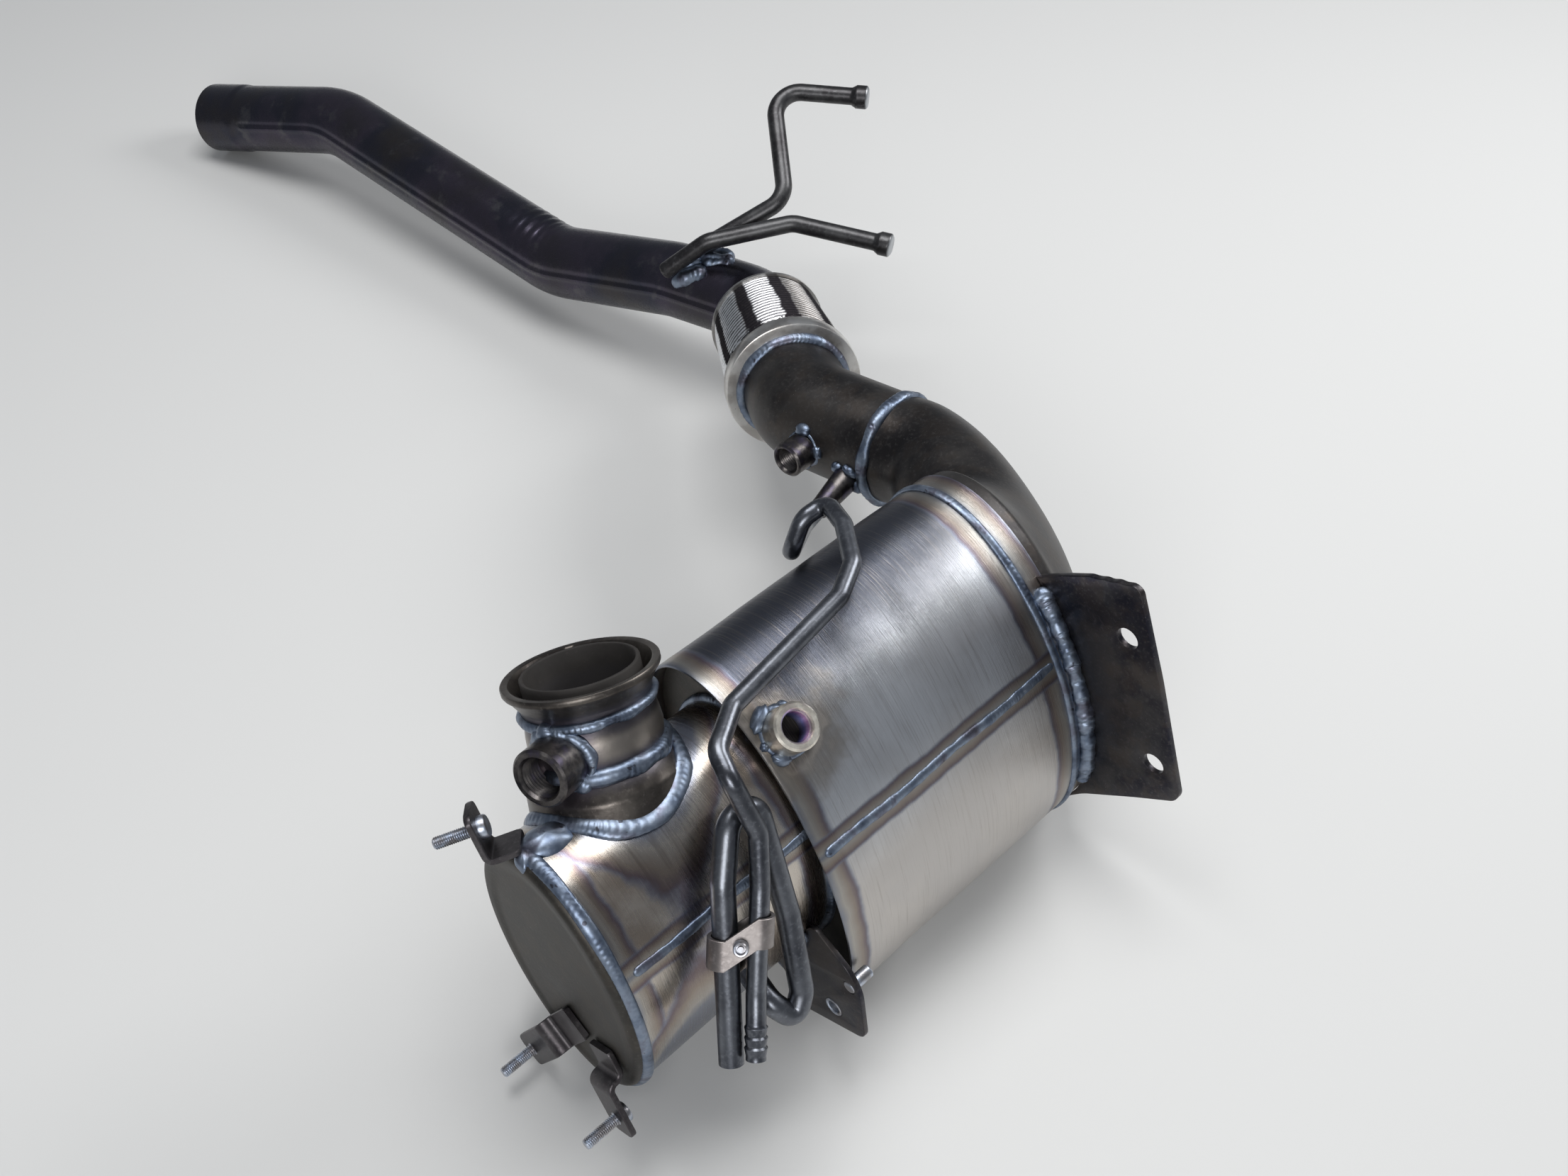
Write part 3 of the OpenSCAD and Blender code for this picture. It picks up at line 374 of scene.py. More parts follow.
def on_doc(q, lean=0.0):
    """Points of the catalyst's oval and their normals, tipped along x by lean, in the can's frame."""
    return doc_place(q), (oval_up(q, DOC_HZ, DOC_HY) + [lean, 0, 0]) @ DOC_SPIN.T


def can_loops(x0, x1, count, lip, hz, hy, bulge):
    """Outside, rounded front lip and inside of an oval sheet can; bulge(points) moves them outwards."""
    profile = [(x, 0.0) for x in np.linspace(x1, x0 + lip, count)]
    profile += [(x0 + lip * 0.25, -0.25), (x0, -WALL / 2), (x0 + lip * 0.25, 0.25 - WALL)]
    profile += [(x, -WALL) for x in np.linspace(x0 + lip, x1, 6)]
    ovals = [oval(x, hz + off, hy + off, 256) for x, off in profile]
    return np.array([q + oval_up(q, hz, hy) * bulge(q)[:, None] for q in ovals])


# How far a point lies outside a surface


def on_filter(q):
    return (q[1] / DPF_HY) ** 2 + (q[2] / DPF_HZ) ** 2 - 1


def on_catalyst(q):
    v = (q - DOC_CENTRE) @ DOC_SPIN
    return (v[1] / DOC_HY) ** 2 + (v[2] / DOC_HZ) ** 2 - 1


def on_pipe(centre, d, r):
    return lambda q: np.linalg.norm(np.cross(q - centre, d)) - r


# Shader building


class Value:
    """A shader socket that can be calculated with."""

    def __init__(self, net, out):
        self.net, self.out = net, out

    def __add__(self, o):
        return self.net.math("ADD", self, o)

    def __sub__(self, o):
        return self.net.math("SUBTRACT", self, o)

    def __rsub__(self, o):
        return self.net.math("SUBTRACT", o, self)

    def __mul__(self, o):
        return self.net.math("MULTIPLY", self, o)

    def __truediv__(self, o):
        return self.net.math("DIVIDE", self, o)

    def __rtruediv__(self, o):
        return self.net.math("DIVIDE", o, self)

    def __abs__(self):
        return self.net.math("ABSOLUTE", self)

    __radd__ = __add__
    __rmul__ = __mul__

    def near(self, full, none):
        """1 where the value is at or under full, falling smoothly to 0 at none."""
        return self.net.node("ShaderNodeMapRange", {"interpolation_type": "SMOOTHSTEP"},
                             {0: self, 1: full, 2: none, 3: 1.0, 4: 0.0})


class Net:
    """The nodes of one material, whose colour is painted in layers."""

    def __init__(self, name, colour=None):
        self.colour = colour
        self.material = bpy.data.materials.new(name)
        self.material.use_nodes = True
        self.tree = self.material.node_tree
        self.tree.nodes.clear()
        self.place = self.node("ShaderNodeTexCoord", {}, {}, "Object")

    def node(self, kind, settings, sockets, out=0):
        """Makes a node: settings first, such as a ramp's stops of (position, colour), then sockets."""
        made = self.tree.nodes.new(kind)
        for key, value in settings.items():
            if key == "stops":
                marks = made.color_ramp.elements
                while len(marks) < len(value):
                    marks.new(0.5)
                for mark, (at, colour) in zip(marks, value):
                    mark.position = at
                    mark.color = (*colour, 1.0)
            else:
                setattr(made, key, value)
        for key, value in sockets.items():
            socket = made.inputs[key]
            if isinstance(value, Value):
                self.tree.links.new(value.out, socket)
            else:
                socket.default_value = (*value, 1.0) if socket.type == "RGBA" else value
        return Value(self, made.outputs[out]) if len(made.outputs) else None

    def math(self, op, *values):
        return self.node("ShaderNodeMath", {"operation": op}, dict(enumerate(values)))

    def can(self):
        """Coordinates of the can's frame in millimetres."""
        parts = self.node("ShaderNodeSeparateXYZ", {}, {0: self.place}).out.node
        x, y, z = [Value(self, out) for out in parts.outputs]
        c, s = math.cos(LIE), math.sin(LIE)
        return [x * 1000 + INLET[0], (y * c - z * s) * 1000 + INLET[1], (y * s + z * c) * 1000 + INLET[2]]

    def noise(self, scale, detail=3.0, rough=0.55, where=None):
        sockets = {"Vector": where or self.place, "Scale": scale, "Detail": detail, "Roughness": rough}
        return self.node("ShaderNodeTexNoise", {}, sockets)

    def brushed(self, at, across, along, detail, rough):
        """Fine lines that run round the can."""
        stretched = {0: at[0] * across, 1: at[1] * along, 2: at[2] * along}
        return self.noise(1.0, detail, rough, self.node("ShaderNodeCombineXYZ", {}, stretched))

    def mix(self, amount, a, b):
        return self.node("ShaderNodeMix", {"data_type": "RGBA"}, {0: amount, 6: a, 7: b}, 2)

    def ramp(self, value, stops):
        return self.node("ShaderNodeValToRGB", {"stops": stops}, {0: value})

    def paint(self, amount, colour):
        self.colour = self.mix(amount, self.colour, colour)

    def heat(self, distance, wide):
        """A dulled strip beside a weld, with a brown, purple and blue line at its edge."""
        stops = [(0.0, WELD_SIDE), (0.25, DULL), (0.55, BROWN), (0.74, PURPLE), (0.88, BLUE)]
        self.paint(distance.near(wide * 0.78, wide) * 0.9, self.ramp(distance / wide, stops))

    def finish(self, rough, metal, bump=None, lift=0.0, deep=0.0):
        sockets = {"Base Color": self.colour, "Roughness": rough, "Metallic": metal}
        if bump is not None:
            relief = {"Height": bump, "Strength": lift, "Distance": deep}
            sockets["Normal"] = self.node("ShaderNodeBump", {}, relief)
        shader = self.node("ShaderNodeBsdfPrincipled", {}, sockets)
        self.node("ShaderNodeOutputMaterial", {}, {0: shader})
        return self.material


STEEL = (0.66, 0.68, 0.71)
WELD_SIDE = (0.2, 0.22, 0.27)
DULL = (0.38, 0.36, 0.33)
BROWN = (0.27, 0.225, 0.19)
PURPLE = (0.15, 0.115, 0.13)
BLUE = (0.2, 0.22, 0.29)
SOOT = (0.018, 0.016, 0.015)
GRAIN_DEEP, SHEET_DEEP = 0.0003, 0.0004


def from_point(at, p):
    return [axis - c for axis, c in zip(at, p)]


def dot(u, v):
    return u[0] * v[0] + u[1] * v[1] + u[2] * v[2]


def spot(net, at, p):
    """Distance from a point."""
    u = from_point(at, p)
    return net.math("SQRT", dot(u, u))


def about_axis(net, at, p, way):
    """Distance from the axis through p, and height along it."""
    u = from_point(at, p)
    along = dot(u, way)
    return net.math("SQRT", dot(u, u) - along * along), along


def filter_can_finish():
    net = Net("filter_can_steel")
    x, y, z = at = net.can()
    blotch = net.noise(22, 4)
    drift = net.noise(60) - 0.5
    lines = net.brushed(at, 1.6, 0.03, 4, 0.7)
    fine = net.brushed(at, 6, 0.1, 2, 0.6)
    low = (z - 8 + (blotch - 0.5) * 40).near(-30, 14)
    net.colour = net.mix(low * 0.8, STEEL, (0.52, 0.48, 0.44))
    net.paint(blotch.near(0.42, 0.62) * 0.3, (0.46, 0.45, 0.45))
    # Painted reflection: a dark reflection along the can's upper edge is painted near black-blue.
    upper = (x * 0.16 - z + (blotch - 0.5) * 20).near(-70, -26)
    net.paint(upper * 0.94, (0.045, 0.05, 0.07))
    net.heat(x + drift * 5, 13)
    net.heat(abs(x - DPF_RIM_X) - 1 + drift * 5, 13)
    hidden_side = (1 - y.near(-30, -20)) * 90
    net.heat(abs(z - DPF_SEAM_Z) + hidden_side + drift * 2.5, 8.5)
    boss = spot(net, at, DPF_BOSS) - 10
    smear = boss + (net.noise(34, 4) - 0.5) * 60 + drift * 16
    net.paint(smear.near(6, 22) * 0.7, (0.3, 0.265, 0.225))
    soot = smear.near(-4, 9) * boss.near(12, 20)
    net.paint(soot * 0.85, SOOT)
    net.paint(lines.near(0.3, 0.5) * 0.35, (0.3, 0.27, 0.24))
    rough = 0.24 + lines * 0.16 + soot * 0.3 + low * 0.06
    bump = lines * 0.7 + fine * 0.5 + blotch * 1.3
    return net.finish(rough, 1.0 - soot * 0.6, bump, 0.35, SHEET_DEEP)


def catalyst_can_finish():
    net = Net("catalyst_can_steel")
    x, y, z = at = net.can()
    blotch = net.noise(26, 4)
    drift = net.noise(70) - 0.5
    lines = net.brushed(at, 0.9, 0.03, 4, 0.7)
    net.colour = net.mix(blotch.near(0.35, 0.6), (0.6, 0.55, 0.49), (0.37, 0.31, 0.255))
    net.paint((z + (blotch - 0.5) * 40).near(-40, 10) * 0.6, (0.25, 0.2, 0.16))
    net.heat(x - DOC_X0 + drift * 6, 12)
    net.heat(PLATE_X - x + drift * 6, 16)
    seam_height = DOC_SEAM_Z + 6.6  # the seam's, and that of the oval's centre along its own long axis
    seam = abs(z * math.cos(DOC_TURN) - y * math.sin(DOC_TURN) - seam_height) + (1 - y.near(-20, -10)) * 90
    net.heat(seam + drift * 3, 8)
    from_neck, _ = about_axis(net, at, INLET, NECK_DIR)
    net.heat(from_neck - 36 + drift * 6, 11)
    net.paint(lines.near(0.3, 0.5) * 0.3, (0.16, 0.12, 0.1))
    rough = 0.16 + lines * 0.14 + blotch * 0.08
    return net.finish(rough, 1.0, lines * 0.6 + blotch * 2.4, 0.3, SHEET_DEEP)


def sooted_finish(name, light, dark, rough, metal, brown=0.0, bare_ends=()):
    """Heat-darkened sheet with soft clouds, a fine grain, a few rubbed flecks and bare rod ends."""
    net = Net(name)
    cloud = net.noise(34, 5, 0.6)
    grain = net.noise(520)
    fleck = net.noise(1300, 2, 0.5)
    net.colour = net.mix(cloud.near(0.36, 0.64), light, dark)
    net.paint(net.noise(80).near(0.38, 0.56) * brown, (0.1, 0.075, 0.055))
    net.paint((1 - grain.near(0.5, 0.75)) * 0.5, [c * 1.5 for c in light])
    net.paint((1 - fleck.near(0.7, 0.78)) * 0.5, (0.3, 0.29, 0.28))
    for end, way in bare_ends:
        at = net.can()
        past = dot(from_point(at, end), way)
        bare = ((cloud - 0.5) * 3 - past).near(0.2, 1.6) * spot(net, at, end).near(8, 9)
        net.paint(bare * 0.9, (0.5, 0.52, 0.54))
    return net.finish(rough + cloud * 0.2 + grain * 0.06, metal, grain * 0.5 + cloud * 2, 0.25, SHEET_DEEP)


def neck_finish():
    net = Net("neck_sooted_steel")
    at = net.can()
    r, along = about_axis(net, at, INLET, NECK_DIR)
    cloud = net.noise(45, 5, 0.6)
    grain = net.noise(420, 4, 0.6)
    drift = (net.noise(80) - 0.5) * 10
    net.colour = net.mix(cloud.near(0.36, 0.62), (0.125, 0.112, 0.1), (0.055, 0.048, 0.044))
    net.paint((1 - grain.near(0.56, 0.74)) * 0.5, (0.2, 0.18, 0.165))
    net.paint((abs(along + 25) + drift * 0.3).near(3, 8) * 0.8, (0.33, 0.3, 0.27))
    for s in (-14, -34):
        net.paint((abs(along - s) + drift * 0.5).near(3, 8) * 0.7, (0.1, 0.095, 0.115))
    by_boss = (spot(net, at, LAMBDA_FOOT) + drift).near(12, 22)
    net.paint(by_boss * 0.7, (0.1, 0.085, 0.11))
    inside = r.near(24.2, 24.8)
    net.paint(inside * 0.85, SOOT)
    rough = 0.24 + cloud * 0.2 + grain * 0.06 + inside * 0.3
    return net.finish(rough, 0.92 - inside * 0.5, grain * 0.5 + cloud * 2, 0.25, SHEET_DEEP)


def weld_finish():
    net = Net("weld_bead_steel")
    tone = net.noise(420)
    net.colour = net.ramp(net.noise(75, 4), [
        (0.3, (0.06, 0.07, 0.1)), (0.42, (0.14, 0.175, 0.24)), (0.54, (0.235, 0.28, 0.355)),
        (0.64, (0.155, 0.165, 0.215)), (0.76, (0.085, 0.076, 0.088))])
    net.paint((1 - tone.near(0.6, 0.76)) * 0.4, (0.4, 0.44, 0.5))
    pits = net.noise(230, 2).near(0.27, 0.34)
    net.paint(pits * 0.8, (0.035, 0.03, 0.034))
    return net.finish(0.31 + tone * 0.22, 1.0, tone, 0.16, GRAIN_DEEP)


def boss_finish(name, face, dark, tint, bore=None):
    """Turned steel; a bore given as (centre, direction, radius) is blued inside."""
    net = Net(name)
    grain = net.noise(700)
    net.colour = net.ramp(net.noise(120, 4), [(0.3, tint), (0.46, dark), (0.56, face), (0.7, dark)])
    if bore:
        centre, way, radius = bore
        off, height = about_axis(net, net.can(), centre, way)
        blued = net.ramp((height + 2) / 15, [(0.0, SOOT), (0.45, (0.07, 0.09, 0.33)),
                                             (0.75, (0.3, 0.12, 0.34)), (0.95, face)])
        net.paint(off.near(radius, radius + 0.3) * 0.85, blued)
    return net.finish(0.26 + grain * 0.18, 0.95, grain, 0.12, GRAIN_DEEP)


def bright_finish(name, clouds, edge, grains, light, dark, rough, lift):
    """Clean steel in two soft tones; rough is the roughness and what the grain adds."""
    net = Net(name)
    grain = net.noise(grains)
    net.colour = net.mix(net.noise(*clouds).near(*edge), light, dark)
    return net.finish(rough[0] + grain * rough[1], 1.0, grain, lift, GRAIN_DEEP)


def braid_finish():
    """Bright wire rings with painted shade in the grooves, dark bands along the sleeve and painted shade on one
    side.
    """
    net = Net("braid_wire_steel")
    u = from_point(net.can(), FLEX)
    side, top, h = [dot(u, way) for way in basis(FLEX_DIR)]
    ruffle = net.noise(260) - 0.5
    edge = h.near(14, 24)
    turn = net.math("ARCTAN2", top, side)
    waves = net.math("SINE", turn * 9 + 2.6 + (net.noise(60) - 0.5) * 1.2 + ruffle * edge * 9)
    groove = net.math("SINE", h * (2 * math.pi / BRAID_PITCH) + ruffle * (1.2 + edge * 8))
    grain = net.noise(800)
    gap = waves.near(-0.7, -0.3)
    # Painted shade: the grooves between the wire rings are painted near black.
    net.colour = net.mix(groove.near(-0.35, 0.35) * 0.92, (0.74, 0.75, 0.77), (0.045, 0.042, 0.046))
    # Painted shade: the sleeve's side towards the camera's right is painted a dark brownish grey.
    brownish = 1 - (dot(u, SHADED_SIDE) + ruffle * 12).near(-4, 10)
    net.paint(brownish * 0.8, (0.085, 0.074, 0.065))
    net.paint(gap, (0.022, 0.02, 0.023))
    net.paint((1 - grain.near(0.52, 0.68)) * 0.3, (0.06, 0.055, 0.055))
    return net.finish(0.34 + gap * 0.25, 1.0, grain, 0.15, GRAIN_DEEP)


def downpipe_finish():
    net = Net("downpipe_black_steel")
    cloud = net.noise(14, 4)
    grain = net.noise(300, 4)
    scuff = net.noise(55, 5, 0.65)
    net.colour = net.ramp(cloud, [(0.3, (0.055, 0.052, 0.056)), (0.45, (0.068, 0.06, 0.082)),
                                  (0.55, (0.044, 0.045, 0.062)), (0.68, (0.06, 0.055, 0.055))])
    net.paint((1 - scuff.near(0.56, 0.7)) * 0.5, (0.13, 0.127, 0.13))
    return net.finish(0.16 + grain * 0.12 + scuff * 0.1, 0.95, grain + cloud, 0.2, SHEET_DEEP)


def matte_finish(name, colour_a, colour_b, scale):
    net = Net(name)
    cloud = net.noise(scale, 4)
    net.colour = net.mix(cloud, colour_a, colour_b)
    return net.finish(0.85, 0.0, cloud, 0.3, 0.0005)


def rod_end(route):
    """Where a rod's bulb ends, past the end of its route, and the direction there."""
    way = unit(np.subtract(route[-1], route[-2]))
    return np.asarray(route[-1]) + way * ROD_BULB, way


FILTER_CAN = filter_can_finish()
CATALYST_CAN = catalyst_can_finish()
CAP = sooted_finish("cap_browned_steel", (0.056, 0.053, 0.048), (0.034, 0.032, 0.029), 0.36, 0.85, 0.15)
HOOD = sooted_finish("hood_sooted_steel", (0.066, 0.062, 0.06), (0.032, 0.03, 0.031), 0.28, 0.92, 0.2)
NECK = neck_finish()
WELD = weld_finish()
BOSS = boss_finish("boss_dark_steel", (0.13, 0.12, 0.115), (0.06, 0.055, 0.058), (0.07, 0.06, 0.1))
BRIGHT_BOSS = boss_finish("boss_pale_steel", (0.82, 0.78, 0.69), (0.6, 0.56, 0.49), (0.4, 0.35, 0.34),
                          (DPF_BOSS, DPF_BOSS_DIR, 6.9))
SATIN = bright_finish("ring_satin_steel", (70, 4), (0.35, 0.6), 600,
                      (0.66, 0.65, 0.63), (0.42, 0.4, 0.38), (0.24, 0.14), 0.1)
BRAID = braid_finish()
DOWNPIPE = downpipe_finish()
ROD = sooted_finish("rod_dull_steel", (0.09, 0.09, 0.092), (0.04, 0.038, 0.04), 0.26, 0.92,
                    bare_ends=[rod_end(UPPER_ROD), rod_end(LOWER_ROD)])
BRACKET = sooted_finish("bracket_blue_black", (0.072, 0.068, 0.07), (0.02, 0.02, 0.03), 0.24, 0.92, 0.25)
TUBE = sooted_finish("tube_grey_blue", (0.16, 0.17, 0.19), (0.09, 0.095, 0.11), 0.2, 1.0)
TAB = sooted_finish("tab_tinted_steel", (0.1, 0.094, 0.097), (0.05, 0.044, 0.048), 0.28, 0.92)
CLIP = sooted_finish("clip_pale_steel", (0.3, 0.275, 0.265), (0.19, 0.17, 0.165), 0.3, 0.95)
ZINC = bright_finish("stud_zinc_plate", (160, 3), (0.4, 0.62), 900,
                     (0.52, 0.57, 0.66), (0.34, 0.33, 0.34), (0.26, 0.2), 0.12)
CERAMIC = matte_finish("core_ceramic", (0.3, 0.25, 0.2), (0.45, 0.38, 0.3), 90)
FIBRE = matte_finish("mat_fibre", (0.6, 0.56, 0.48), (0.75, 0.71, 0.62), 200)

# Filter can


def dents(q):
    """Small waves and dents of the filter's sheet, eased off towards its ends."""
    x, _, z = q.T
    wave = 0.18 * np.sin(x * 0.045 + z * 0.05) + 0.12 * np.sin(x * 0.11 - z * 0.07 + 1)
    for at, deep, wide in (((52, -30, 71), 0.9, 9), ((84, -33, 66), 0.7, 11), ((30, -46, 36), 0.5, 12)):
        wave = wave - deep * np.exp(-(((q - at) / wide) ** 2).sum(axis=1))
    return np.minimum(wave, 0.05) * np.clip(np.minimum(x, DPF_LEN - x) / 12, 0, 1)


loops = can_loops(0, DPF_LEN, 70, 1.2, DPF_HZ, DPF_HY, dents)
Shape().skin(loops, closed=True).piece("filter_can", FILTER_CAN, "can_steel", "dpf_shell")

q = seam_line(3, 144, 60, DPF_HZ, DPF_HY, DPF_SEAM_Z, 0.1, 0.5, 0.1)
bead(Shape(), q, oval_up(q, DPF_HZ, DPF_HY), (4.6, 1.1, 1.8), 3).weld("filter_seam_bead", "dpf_seam_weld")
q = oval(DPF_RIM_X, DPF_HZ, DPF_HY, 360)
shape = bead(Shape(), q, oval_up(q, DPF_HZ, DPF_HY), (4.6, 1.3, 2.6), 5, closed=True)
shape.weld("filter_rear_bead", "dpf_rear_weld")

FINE_THREAD, SENSOR_THREAD = (1.25, 0.6), (1.5, 0.7)


def bored_boss(name, node, material, base, d, low, high, r, bore, thread):
    """A turned boss with chamfered mouth and thread grooves, thread being its pitch and depth."""
    pitch, deep = thread
    profile = [(r, low), (r, high - 0.9), (r - 0.9, high), (bore + 1.0, high), (bore + 0.1, high - 1.2)]
    for k in range(int((high - low - 2.4) / pitch)):
        h = high - 1.4 - k * pitch
        profile += [(bore + 0.05, h), (bore + deep, h - pitch * 0.5)]
    turned(profile + [(bore + 0.2, low)], base, d).piece(name, material, "boss_steel", node, sharp=28)


def boss_weld(name, node, foot, d, r, lift, drop, size, seed, lumps_r, lumps):
    """A bead round a boss, with blobs."""
    shape = bead(Shape(), *saddle(foot, d, r, lift, drop), size, seed, closed=True, rough=0.3)
    lumps_round(shape, foot, d, lumps_r, drop, lumps).weld(name, node)


bored_boss("filter_sensor_boss", "dpf_temp_boss", BRIGHT_BOSS, DPF_BOSS, DPF_BOSS_DIR, -2, 13, 10, 6.2,
           FINE_THREAD)
boss_weld("filter_boss_bead", "dpf_temp_weld", DPF_BOSS, DPF_BOSS_DIR, 10.3, 12, on_filter, (2.6, 1.0, 2.2), 2,
          11, [(300, 13, 8, 3.4), (45, 9, 6, 2.6), (0, 4, 4, 2), (235, 5, 4, 1.6)])

# Catalyst can


def outside_neck(q):
    v = q - INLET
    return np.linalg.norm(v - NECK_DIR * (v @ NECK_DIR)) > NECK_R + 2 or q[2] < 20


loops = can_loops(DOC_X0, DOC_X1, 60, 1.0, DOC_HZ, DOC_HY,
                  lambda q: 0.15 * np.sin(q[:, 0] * 0.08 + q[:, 2] * 0.09) - 0.15)
shape = Shape().skin(doc_place(loops), closed=True, keep=outside_neck)
shape.piece("catalyst_can", CATALYST_CAN, "can_steel", "doc_shell")

q = seam_line(DOC_X0 + 5, PLATE_X - 4, 50, DOC_HZ, DOC_HY, DOC_SEAM_Z, 0, 0.4, 0.12)
bead(Shape(), *on_doc(q), (4.4, 1.0, 1.7), 6).weld("catalyst_seam_bead", "doc_seam_weld")
for name, node, x, grow, lean, size, seed, rough in (
        ("catalyst_plate_bead", "doc_rear_weld", PLATE_X - 1.2, 0.2, -0.8, (4.4, 1.9, 2.3), 7, 0.22),
        ("catalyst_cap_bead", "doc_cap_weld", DOC_X0 - 1, 0.1, -0.3, (6.0, 1.5, 2.6), 8, 0.16)):
    q = oval(x, DOC_HZ + grow, DOC_HY + grow, 360)
    bead(Shape(), *on_doc(q, lean), size, seed, True, rough).weld(name, node)

CAP_ROUND = 3.6
profile = [(DOC_X0, 0.0), (DOC_X0 - 2.2, 0.0)]
profile += [(CAP_X + CAP_ROUND * (1 - math.sin(a)), CAP_ROUND * (math.cos(a) - 1))
            for a in np.linspace(0.05, math.pi / 2, 9)]
profile += [(CAP_X + sunk, off) for sunk, off in
            ((0, -5.0), (0.05, -7), (0.5, -8.5), (0.55, -12), (0.55, -30), (0.55, -43))]
loops = [doc_place(oval(x, DOC_HZ + off, DOC_HY + off, 224)) for x, off in profile]
Shape().skin(loops, caps=True).piece("catalyst_end_cap", CAP, "cap_steel", "doc_end_cap")

# Inlet neck

for name, node, uneven, profile in (
        ("inlet_clamp_rim", "inlet_rim", 0.003,
         [(24, -14), (26, -14), (26, -10.5), (26.6, -9.3), (29.8, -4.2), (31.1, -2.9), (31.5, -2.2),
          (31.5, -0.5), (31.1, 0), (29, 0), (28.4, -0.3), (25, -8.5), (24, -10.3)]),
        ("inlet_inner_liner", "inlet_liner", 0.003,
         [(22, -36), (23.8, -36), (23.8, 0.5), (23.4, 1), (22.4, 1), (22, 0.5)]),
        ("inlet_neck_tube", "neck_tube", 0.004,
         [(24, -42), (26, -42), (26, -34), (26.5, -31), (27, -27), (26.6, -22), (26, -18), (26, -14.1),
          (24, -14.1)])):
    turned(profile, INLET, NECK_DIR, 160, uneven=uneven).piece(name, NECK, "sooty_steel", node)


def collar_radius(s):
    """Outside radius of the collar at depth s under the inlet."""
    return np.interp(s, [COLLAR_TOP, 39, 44, COLLAR_END], [27.5, 29, 32, 34])


def round_neck(out, s, r):
    """The point at radius r in the direction out, at depth s under the inlet."""
    return INLET - NECK_DIR * s + out * r


feet = []
for out in spokes(NECK_DIR, 160):
    feet.append((out, last_outside(lambda s: on_catalyst(round_neck(out, s, collar_radius(s))),
                                   COLLAR_TOP, COLLAR_END)))
loops = []
for f in np.linspace(0, 1, 16):
    depths = [(out, COLLAR_TOP + (s - COLLAR_TOP) * f) for out, s in feet]
    loops.append([round_neck(out, s, collar_radius(s)) for out, s in depths])
for f in (1, 0.5, 0):
    loops.append([round_neck(out, COLLAR_TOP + (s - COLLAR_TOP) * f, NECK_R + 0.3) for out, s in feet])
Shape().skin(loops, closed=True).piece("inlet_collar", NECK, "sooty_steel", "neck_collar")

ring_bead("neck_upper_bead", "neck_weld_upper", INLET - NECK_DIR * 14, NECK_DIR, NECK_R,
          (4.6, 2.1, 2.4), 11, 0.2, sway=0.5)
ring_bead("neck_middle_bead", "neck_weld_middle", INLET - NECK_DIR * 35, NECK_DIR, NECK_R + 0.4,
          (7.4, 3.2, 3.2), 12, 0.24, sway=0.5)
foot = [round_neck(out, s, collar_radius(s) + 0.8) for out, s in feet]
lift = [unit(out + NECK_DIR) for out, s in feet]
shape = bead(Shape(), foot, lift, (7.4, 2.0, 2.8), 13, closed=True, rough=0.2)
shape.weld("neck_foot_bead", "neck_weld_lower")

bored_boss("oxygen_sensor_boss", "lambda_boss", BOSS, LAMBDA_AXIS, LAMBDA_DIR, 24.2, 40, 12, 8.2, SENSOR_THREAD)
on_neck = on_pipe(INLET, NECK_DIR, NECK_R + 0.3)
boss_weld("oxygen_boss_bead", "lambda_weld", LAMBDA_FOOT, LAMBDA_DIR, 12.8, 12, on_neck, (5.0, 2.2, 2.6), 14,
          13, [(275, 8, 7, 3.4), (125, 9, 8, 3.6)])

# Outlet hood, pipe and flexible coupling

JOINT_TURN = math.degrees(math.acos(JOINT_DIR[0]))
# Stations of the hood: x, y, z, turn away from the can's axis in degrees, half height and half width
HOOD_HZ, HOOD_HY = DPF_HZ - WALL - SLIP, DPF_HY - WALL - SLIP
STATIONS = np.array([
    (DPF_LEN - 4, 0, 0, 0, HOOD_HZ, HOOD_HY), (DPF_LEN + 5, 0, 0, 0, HOOD_HZ, HOOD_HY),
    (DPF_LEN + 10, 2, 3, 4, DPF_HZ - 6, DPF_HY - 5), (DPF_LEN + 18, 10, 14, 18, DPF_HZ - 24, DPF_HY - 9),
    (DPF_LEN + 28, 25, 33, 42, DPF_HZ - 45, DPF_HY - 16),
    (DPF_LEN + 40, 46, 53, 66, OUTLET_R + 4, OUTLET_R + 2),
    (*(JOINT - JOINT_DIR * 18), JOINT_TURN, OUTLET_R, OUTLET_R), (*JOINT, JOINT_TURN, OUTLET_R, OUTLET_R)])
HOOD_SIDE = unit([0, JOINT_DIR[1], JOINT_DIR[2]])


def hood_loop(h, thin):
    turn = math.radians(h[3])
    facing = np.array([math.cos(turn), 0, 0]) + math.sin(turn) * HOOD_SIDE
    up = square_to([0, 0, 1], facing)
    away = np.cross(up, facing)
    c, s = ring(128)
    return h[:3] + up * (h[4] - thin) * c - away * (h[5] - thin) * s


def hood_rings(steps):
    """The stations with smooth steps between them."""
    s = STATIONS
    out = [s[0]]
    for i in range(1, len(s) - 1):
        p0, p1, p2, p3 = s[i - 1], s[i], s[i + 1], s[min(i + 2, len(s) - 1)]
        for k in range(steps):
            t = k / steps
            out.append(0.5 * (2 * p1 + (p2 - p0) * t + (2 * p0 - 5 * p1 + 4 * p2 - p3) * t**2
                              + (3 * p1 - p0 - 3 * p2 + p3) * t**3))
    return out + [s[-1]]


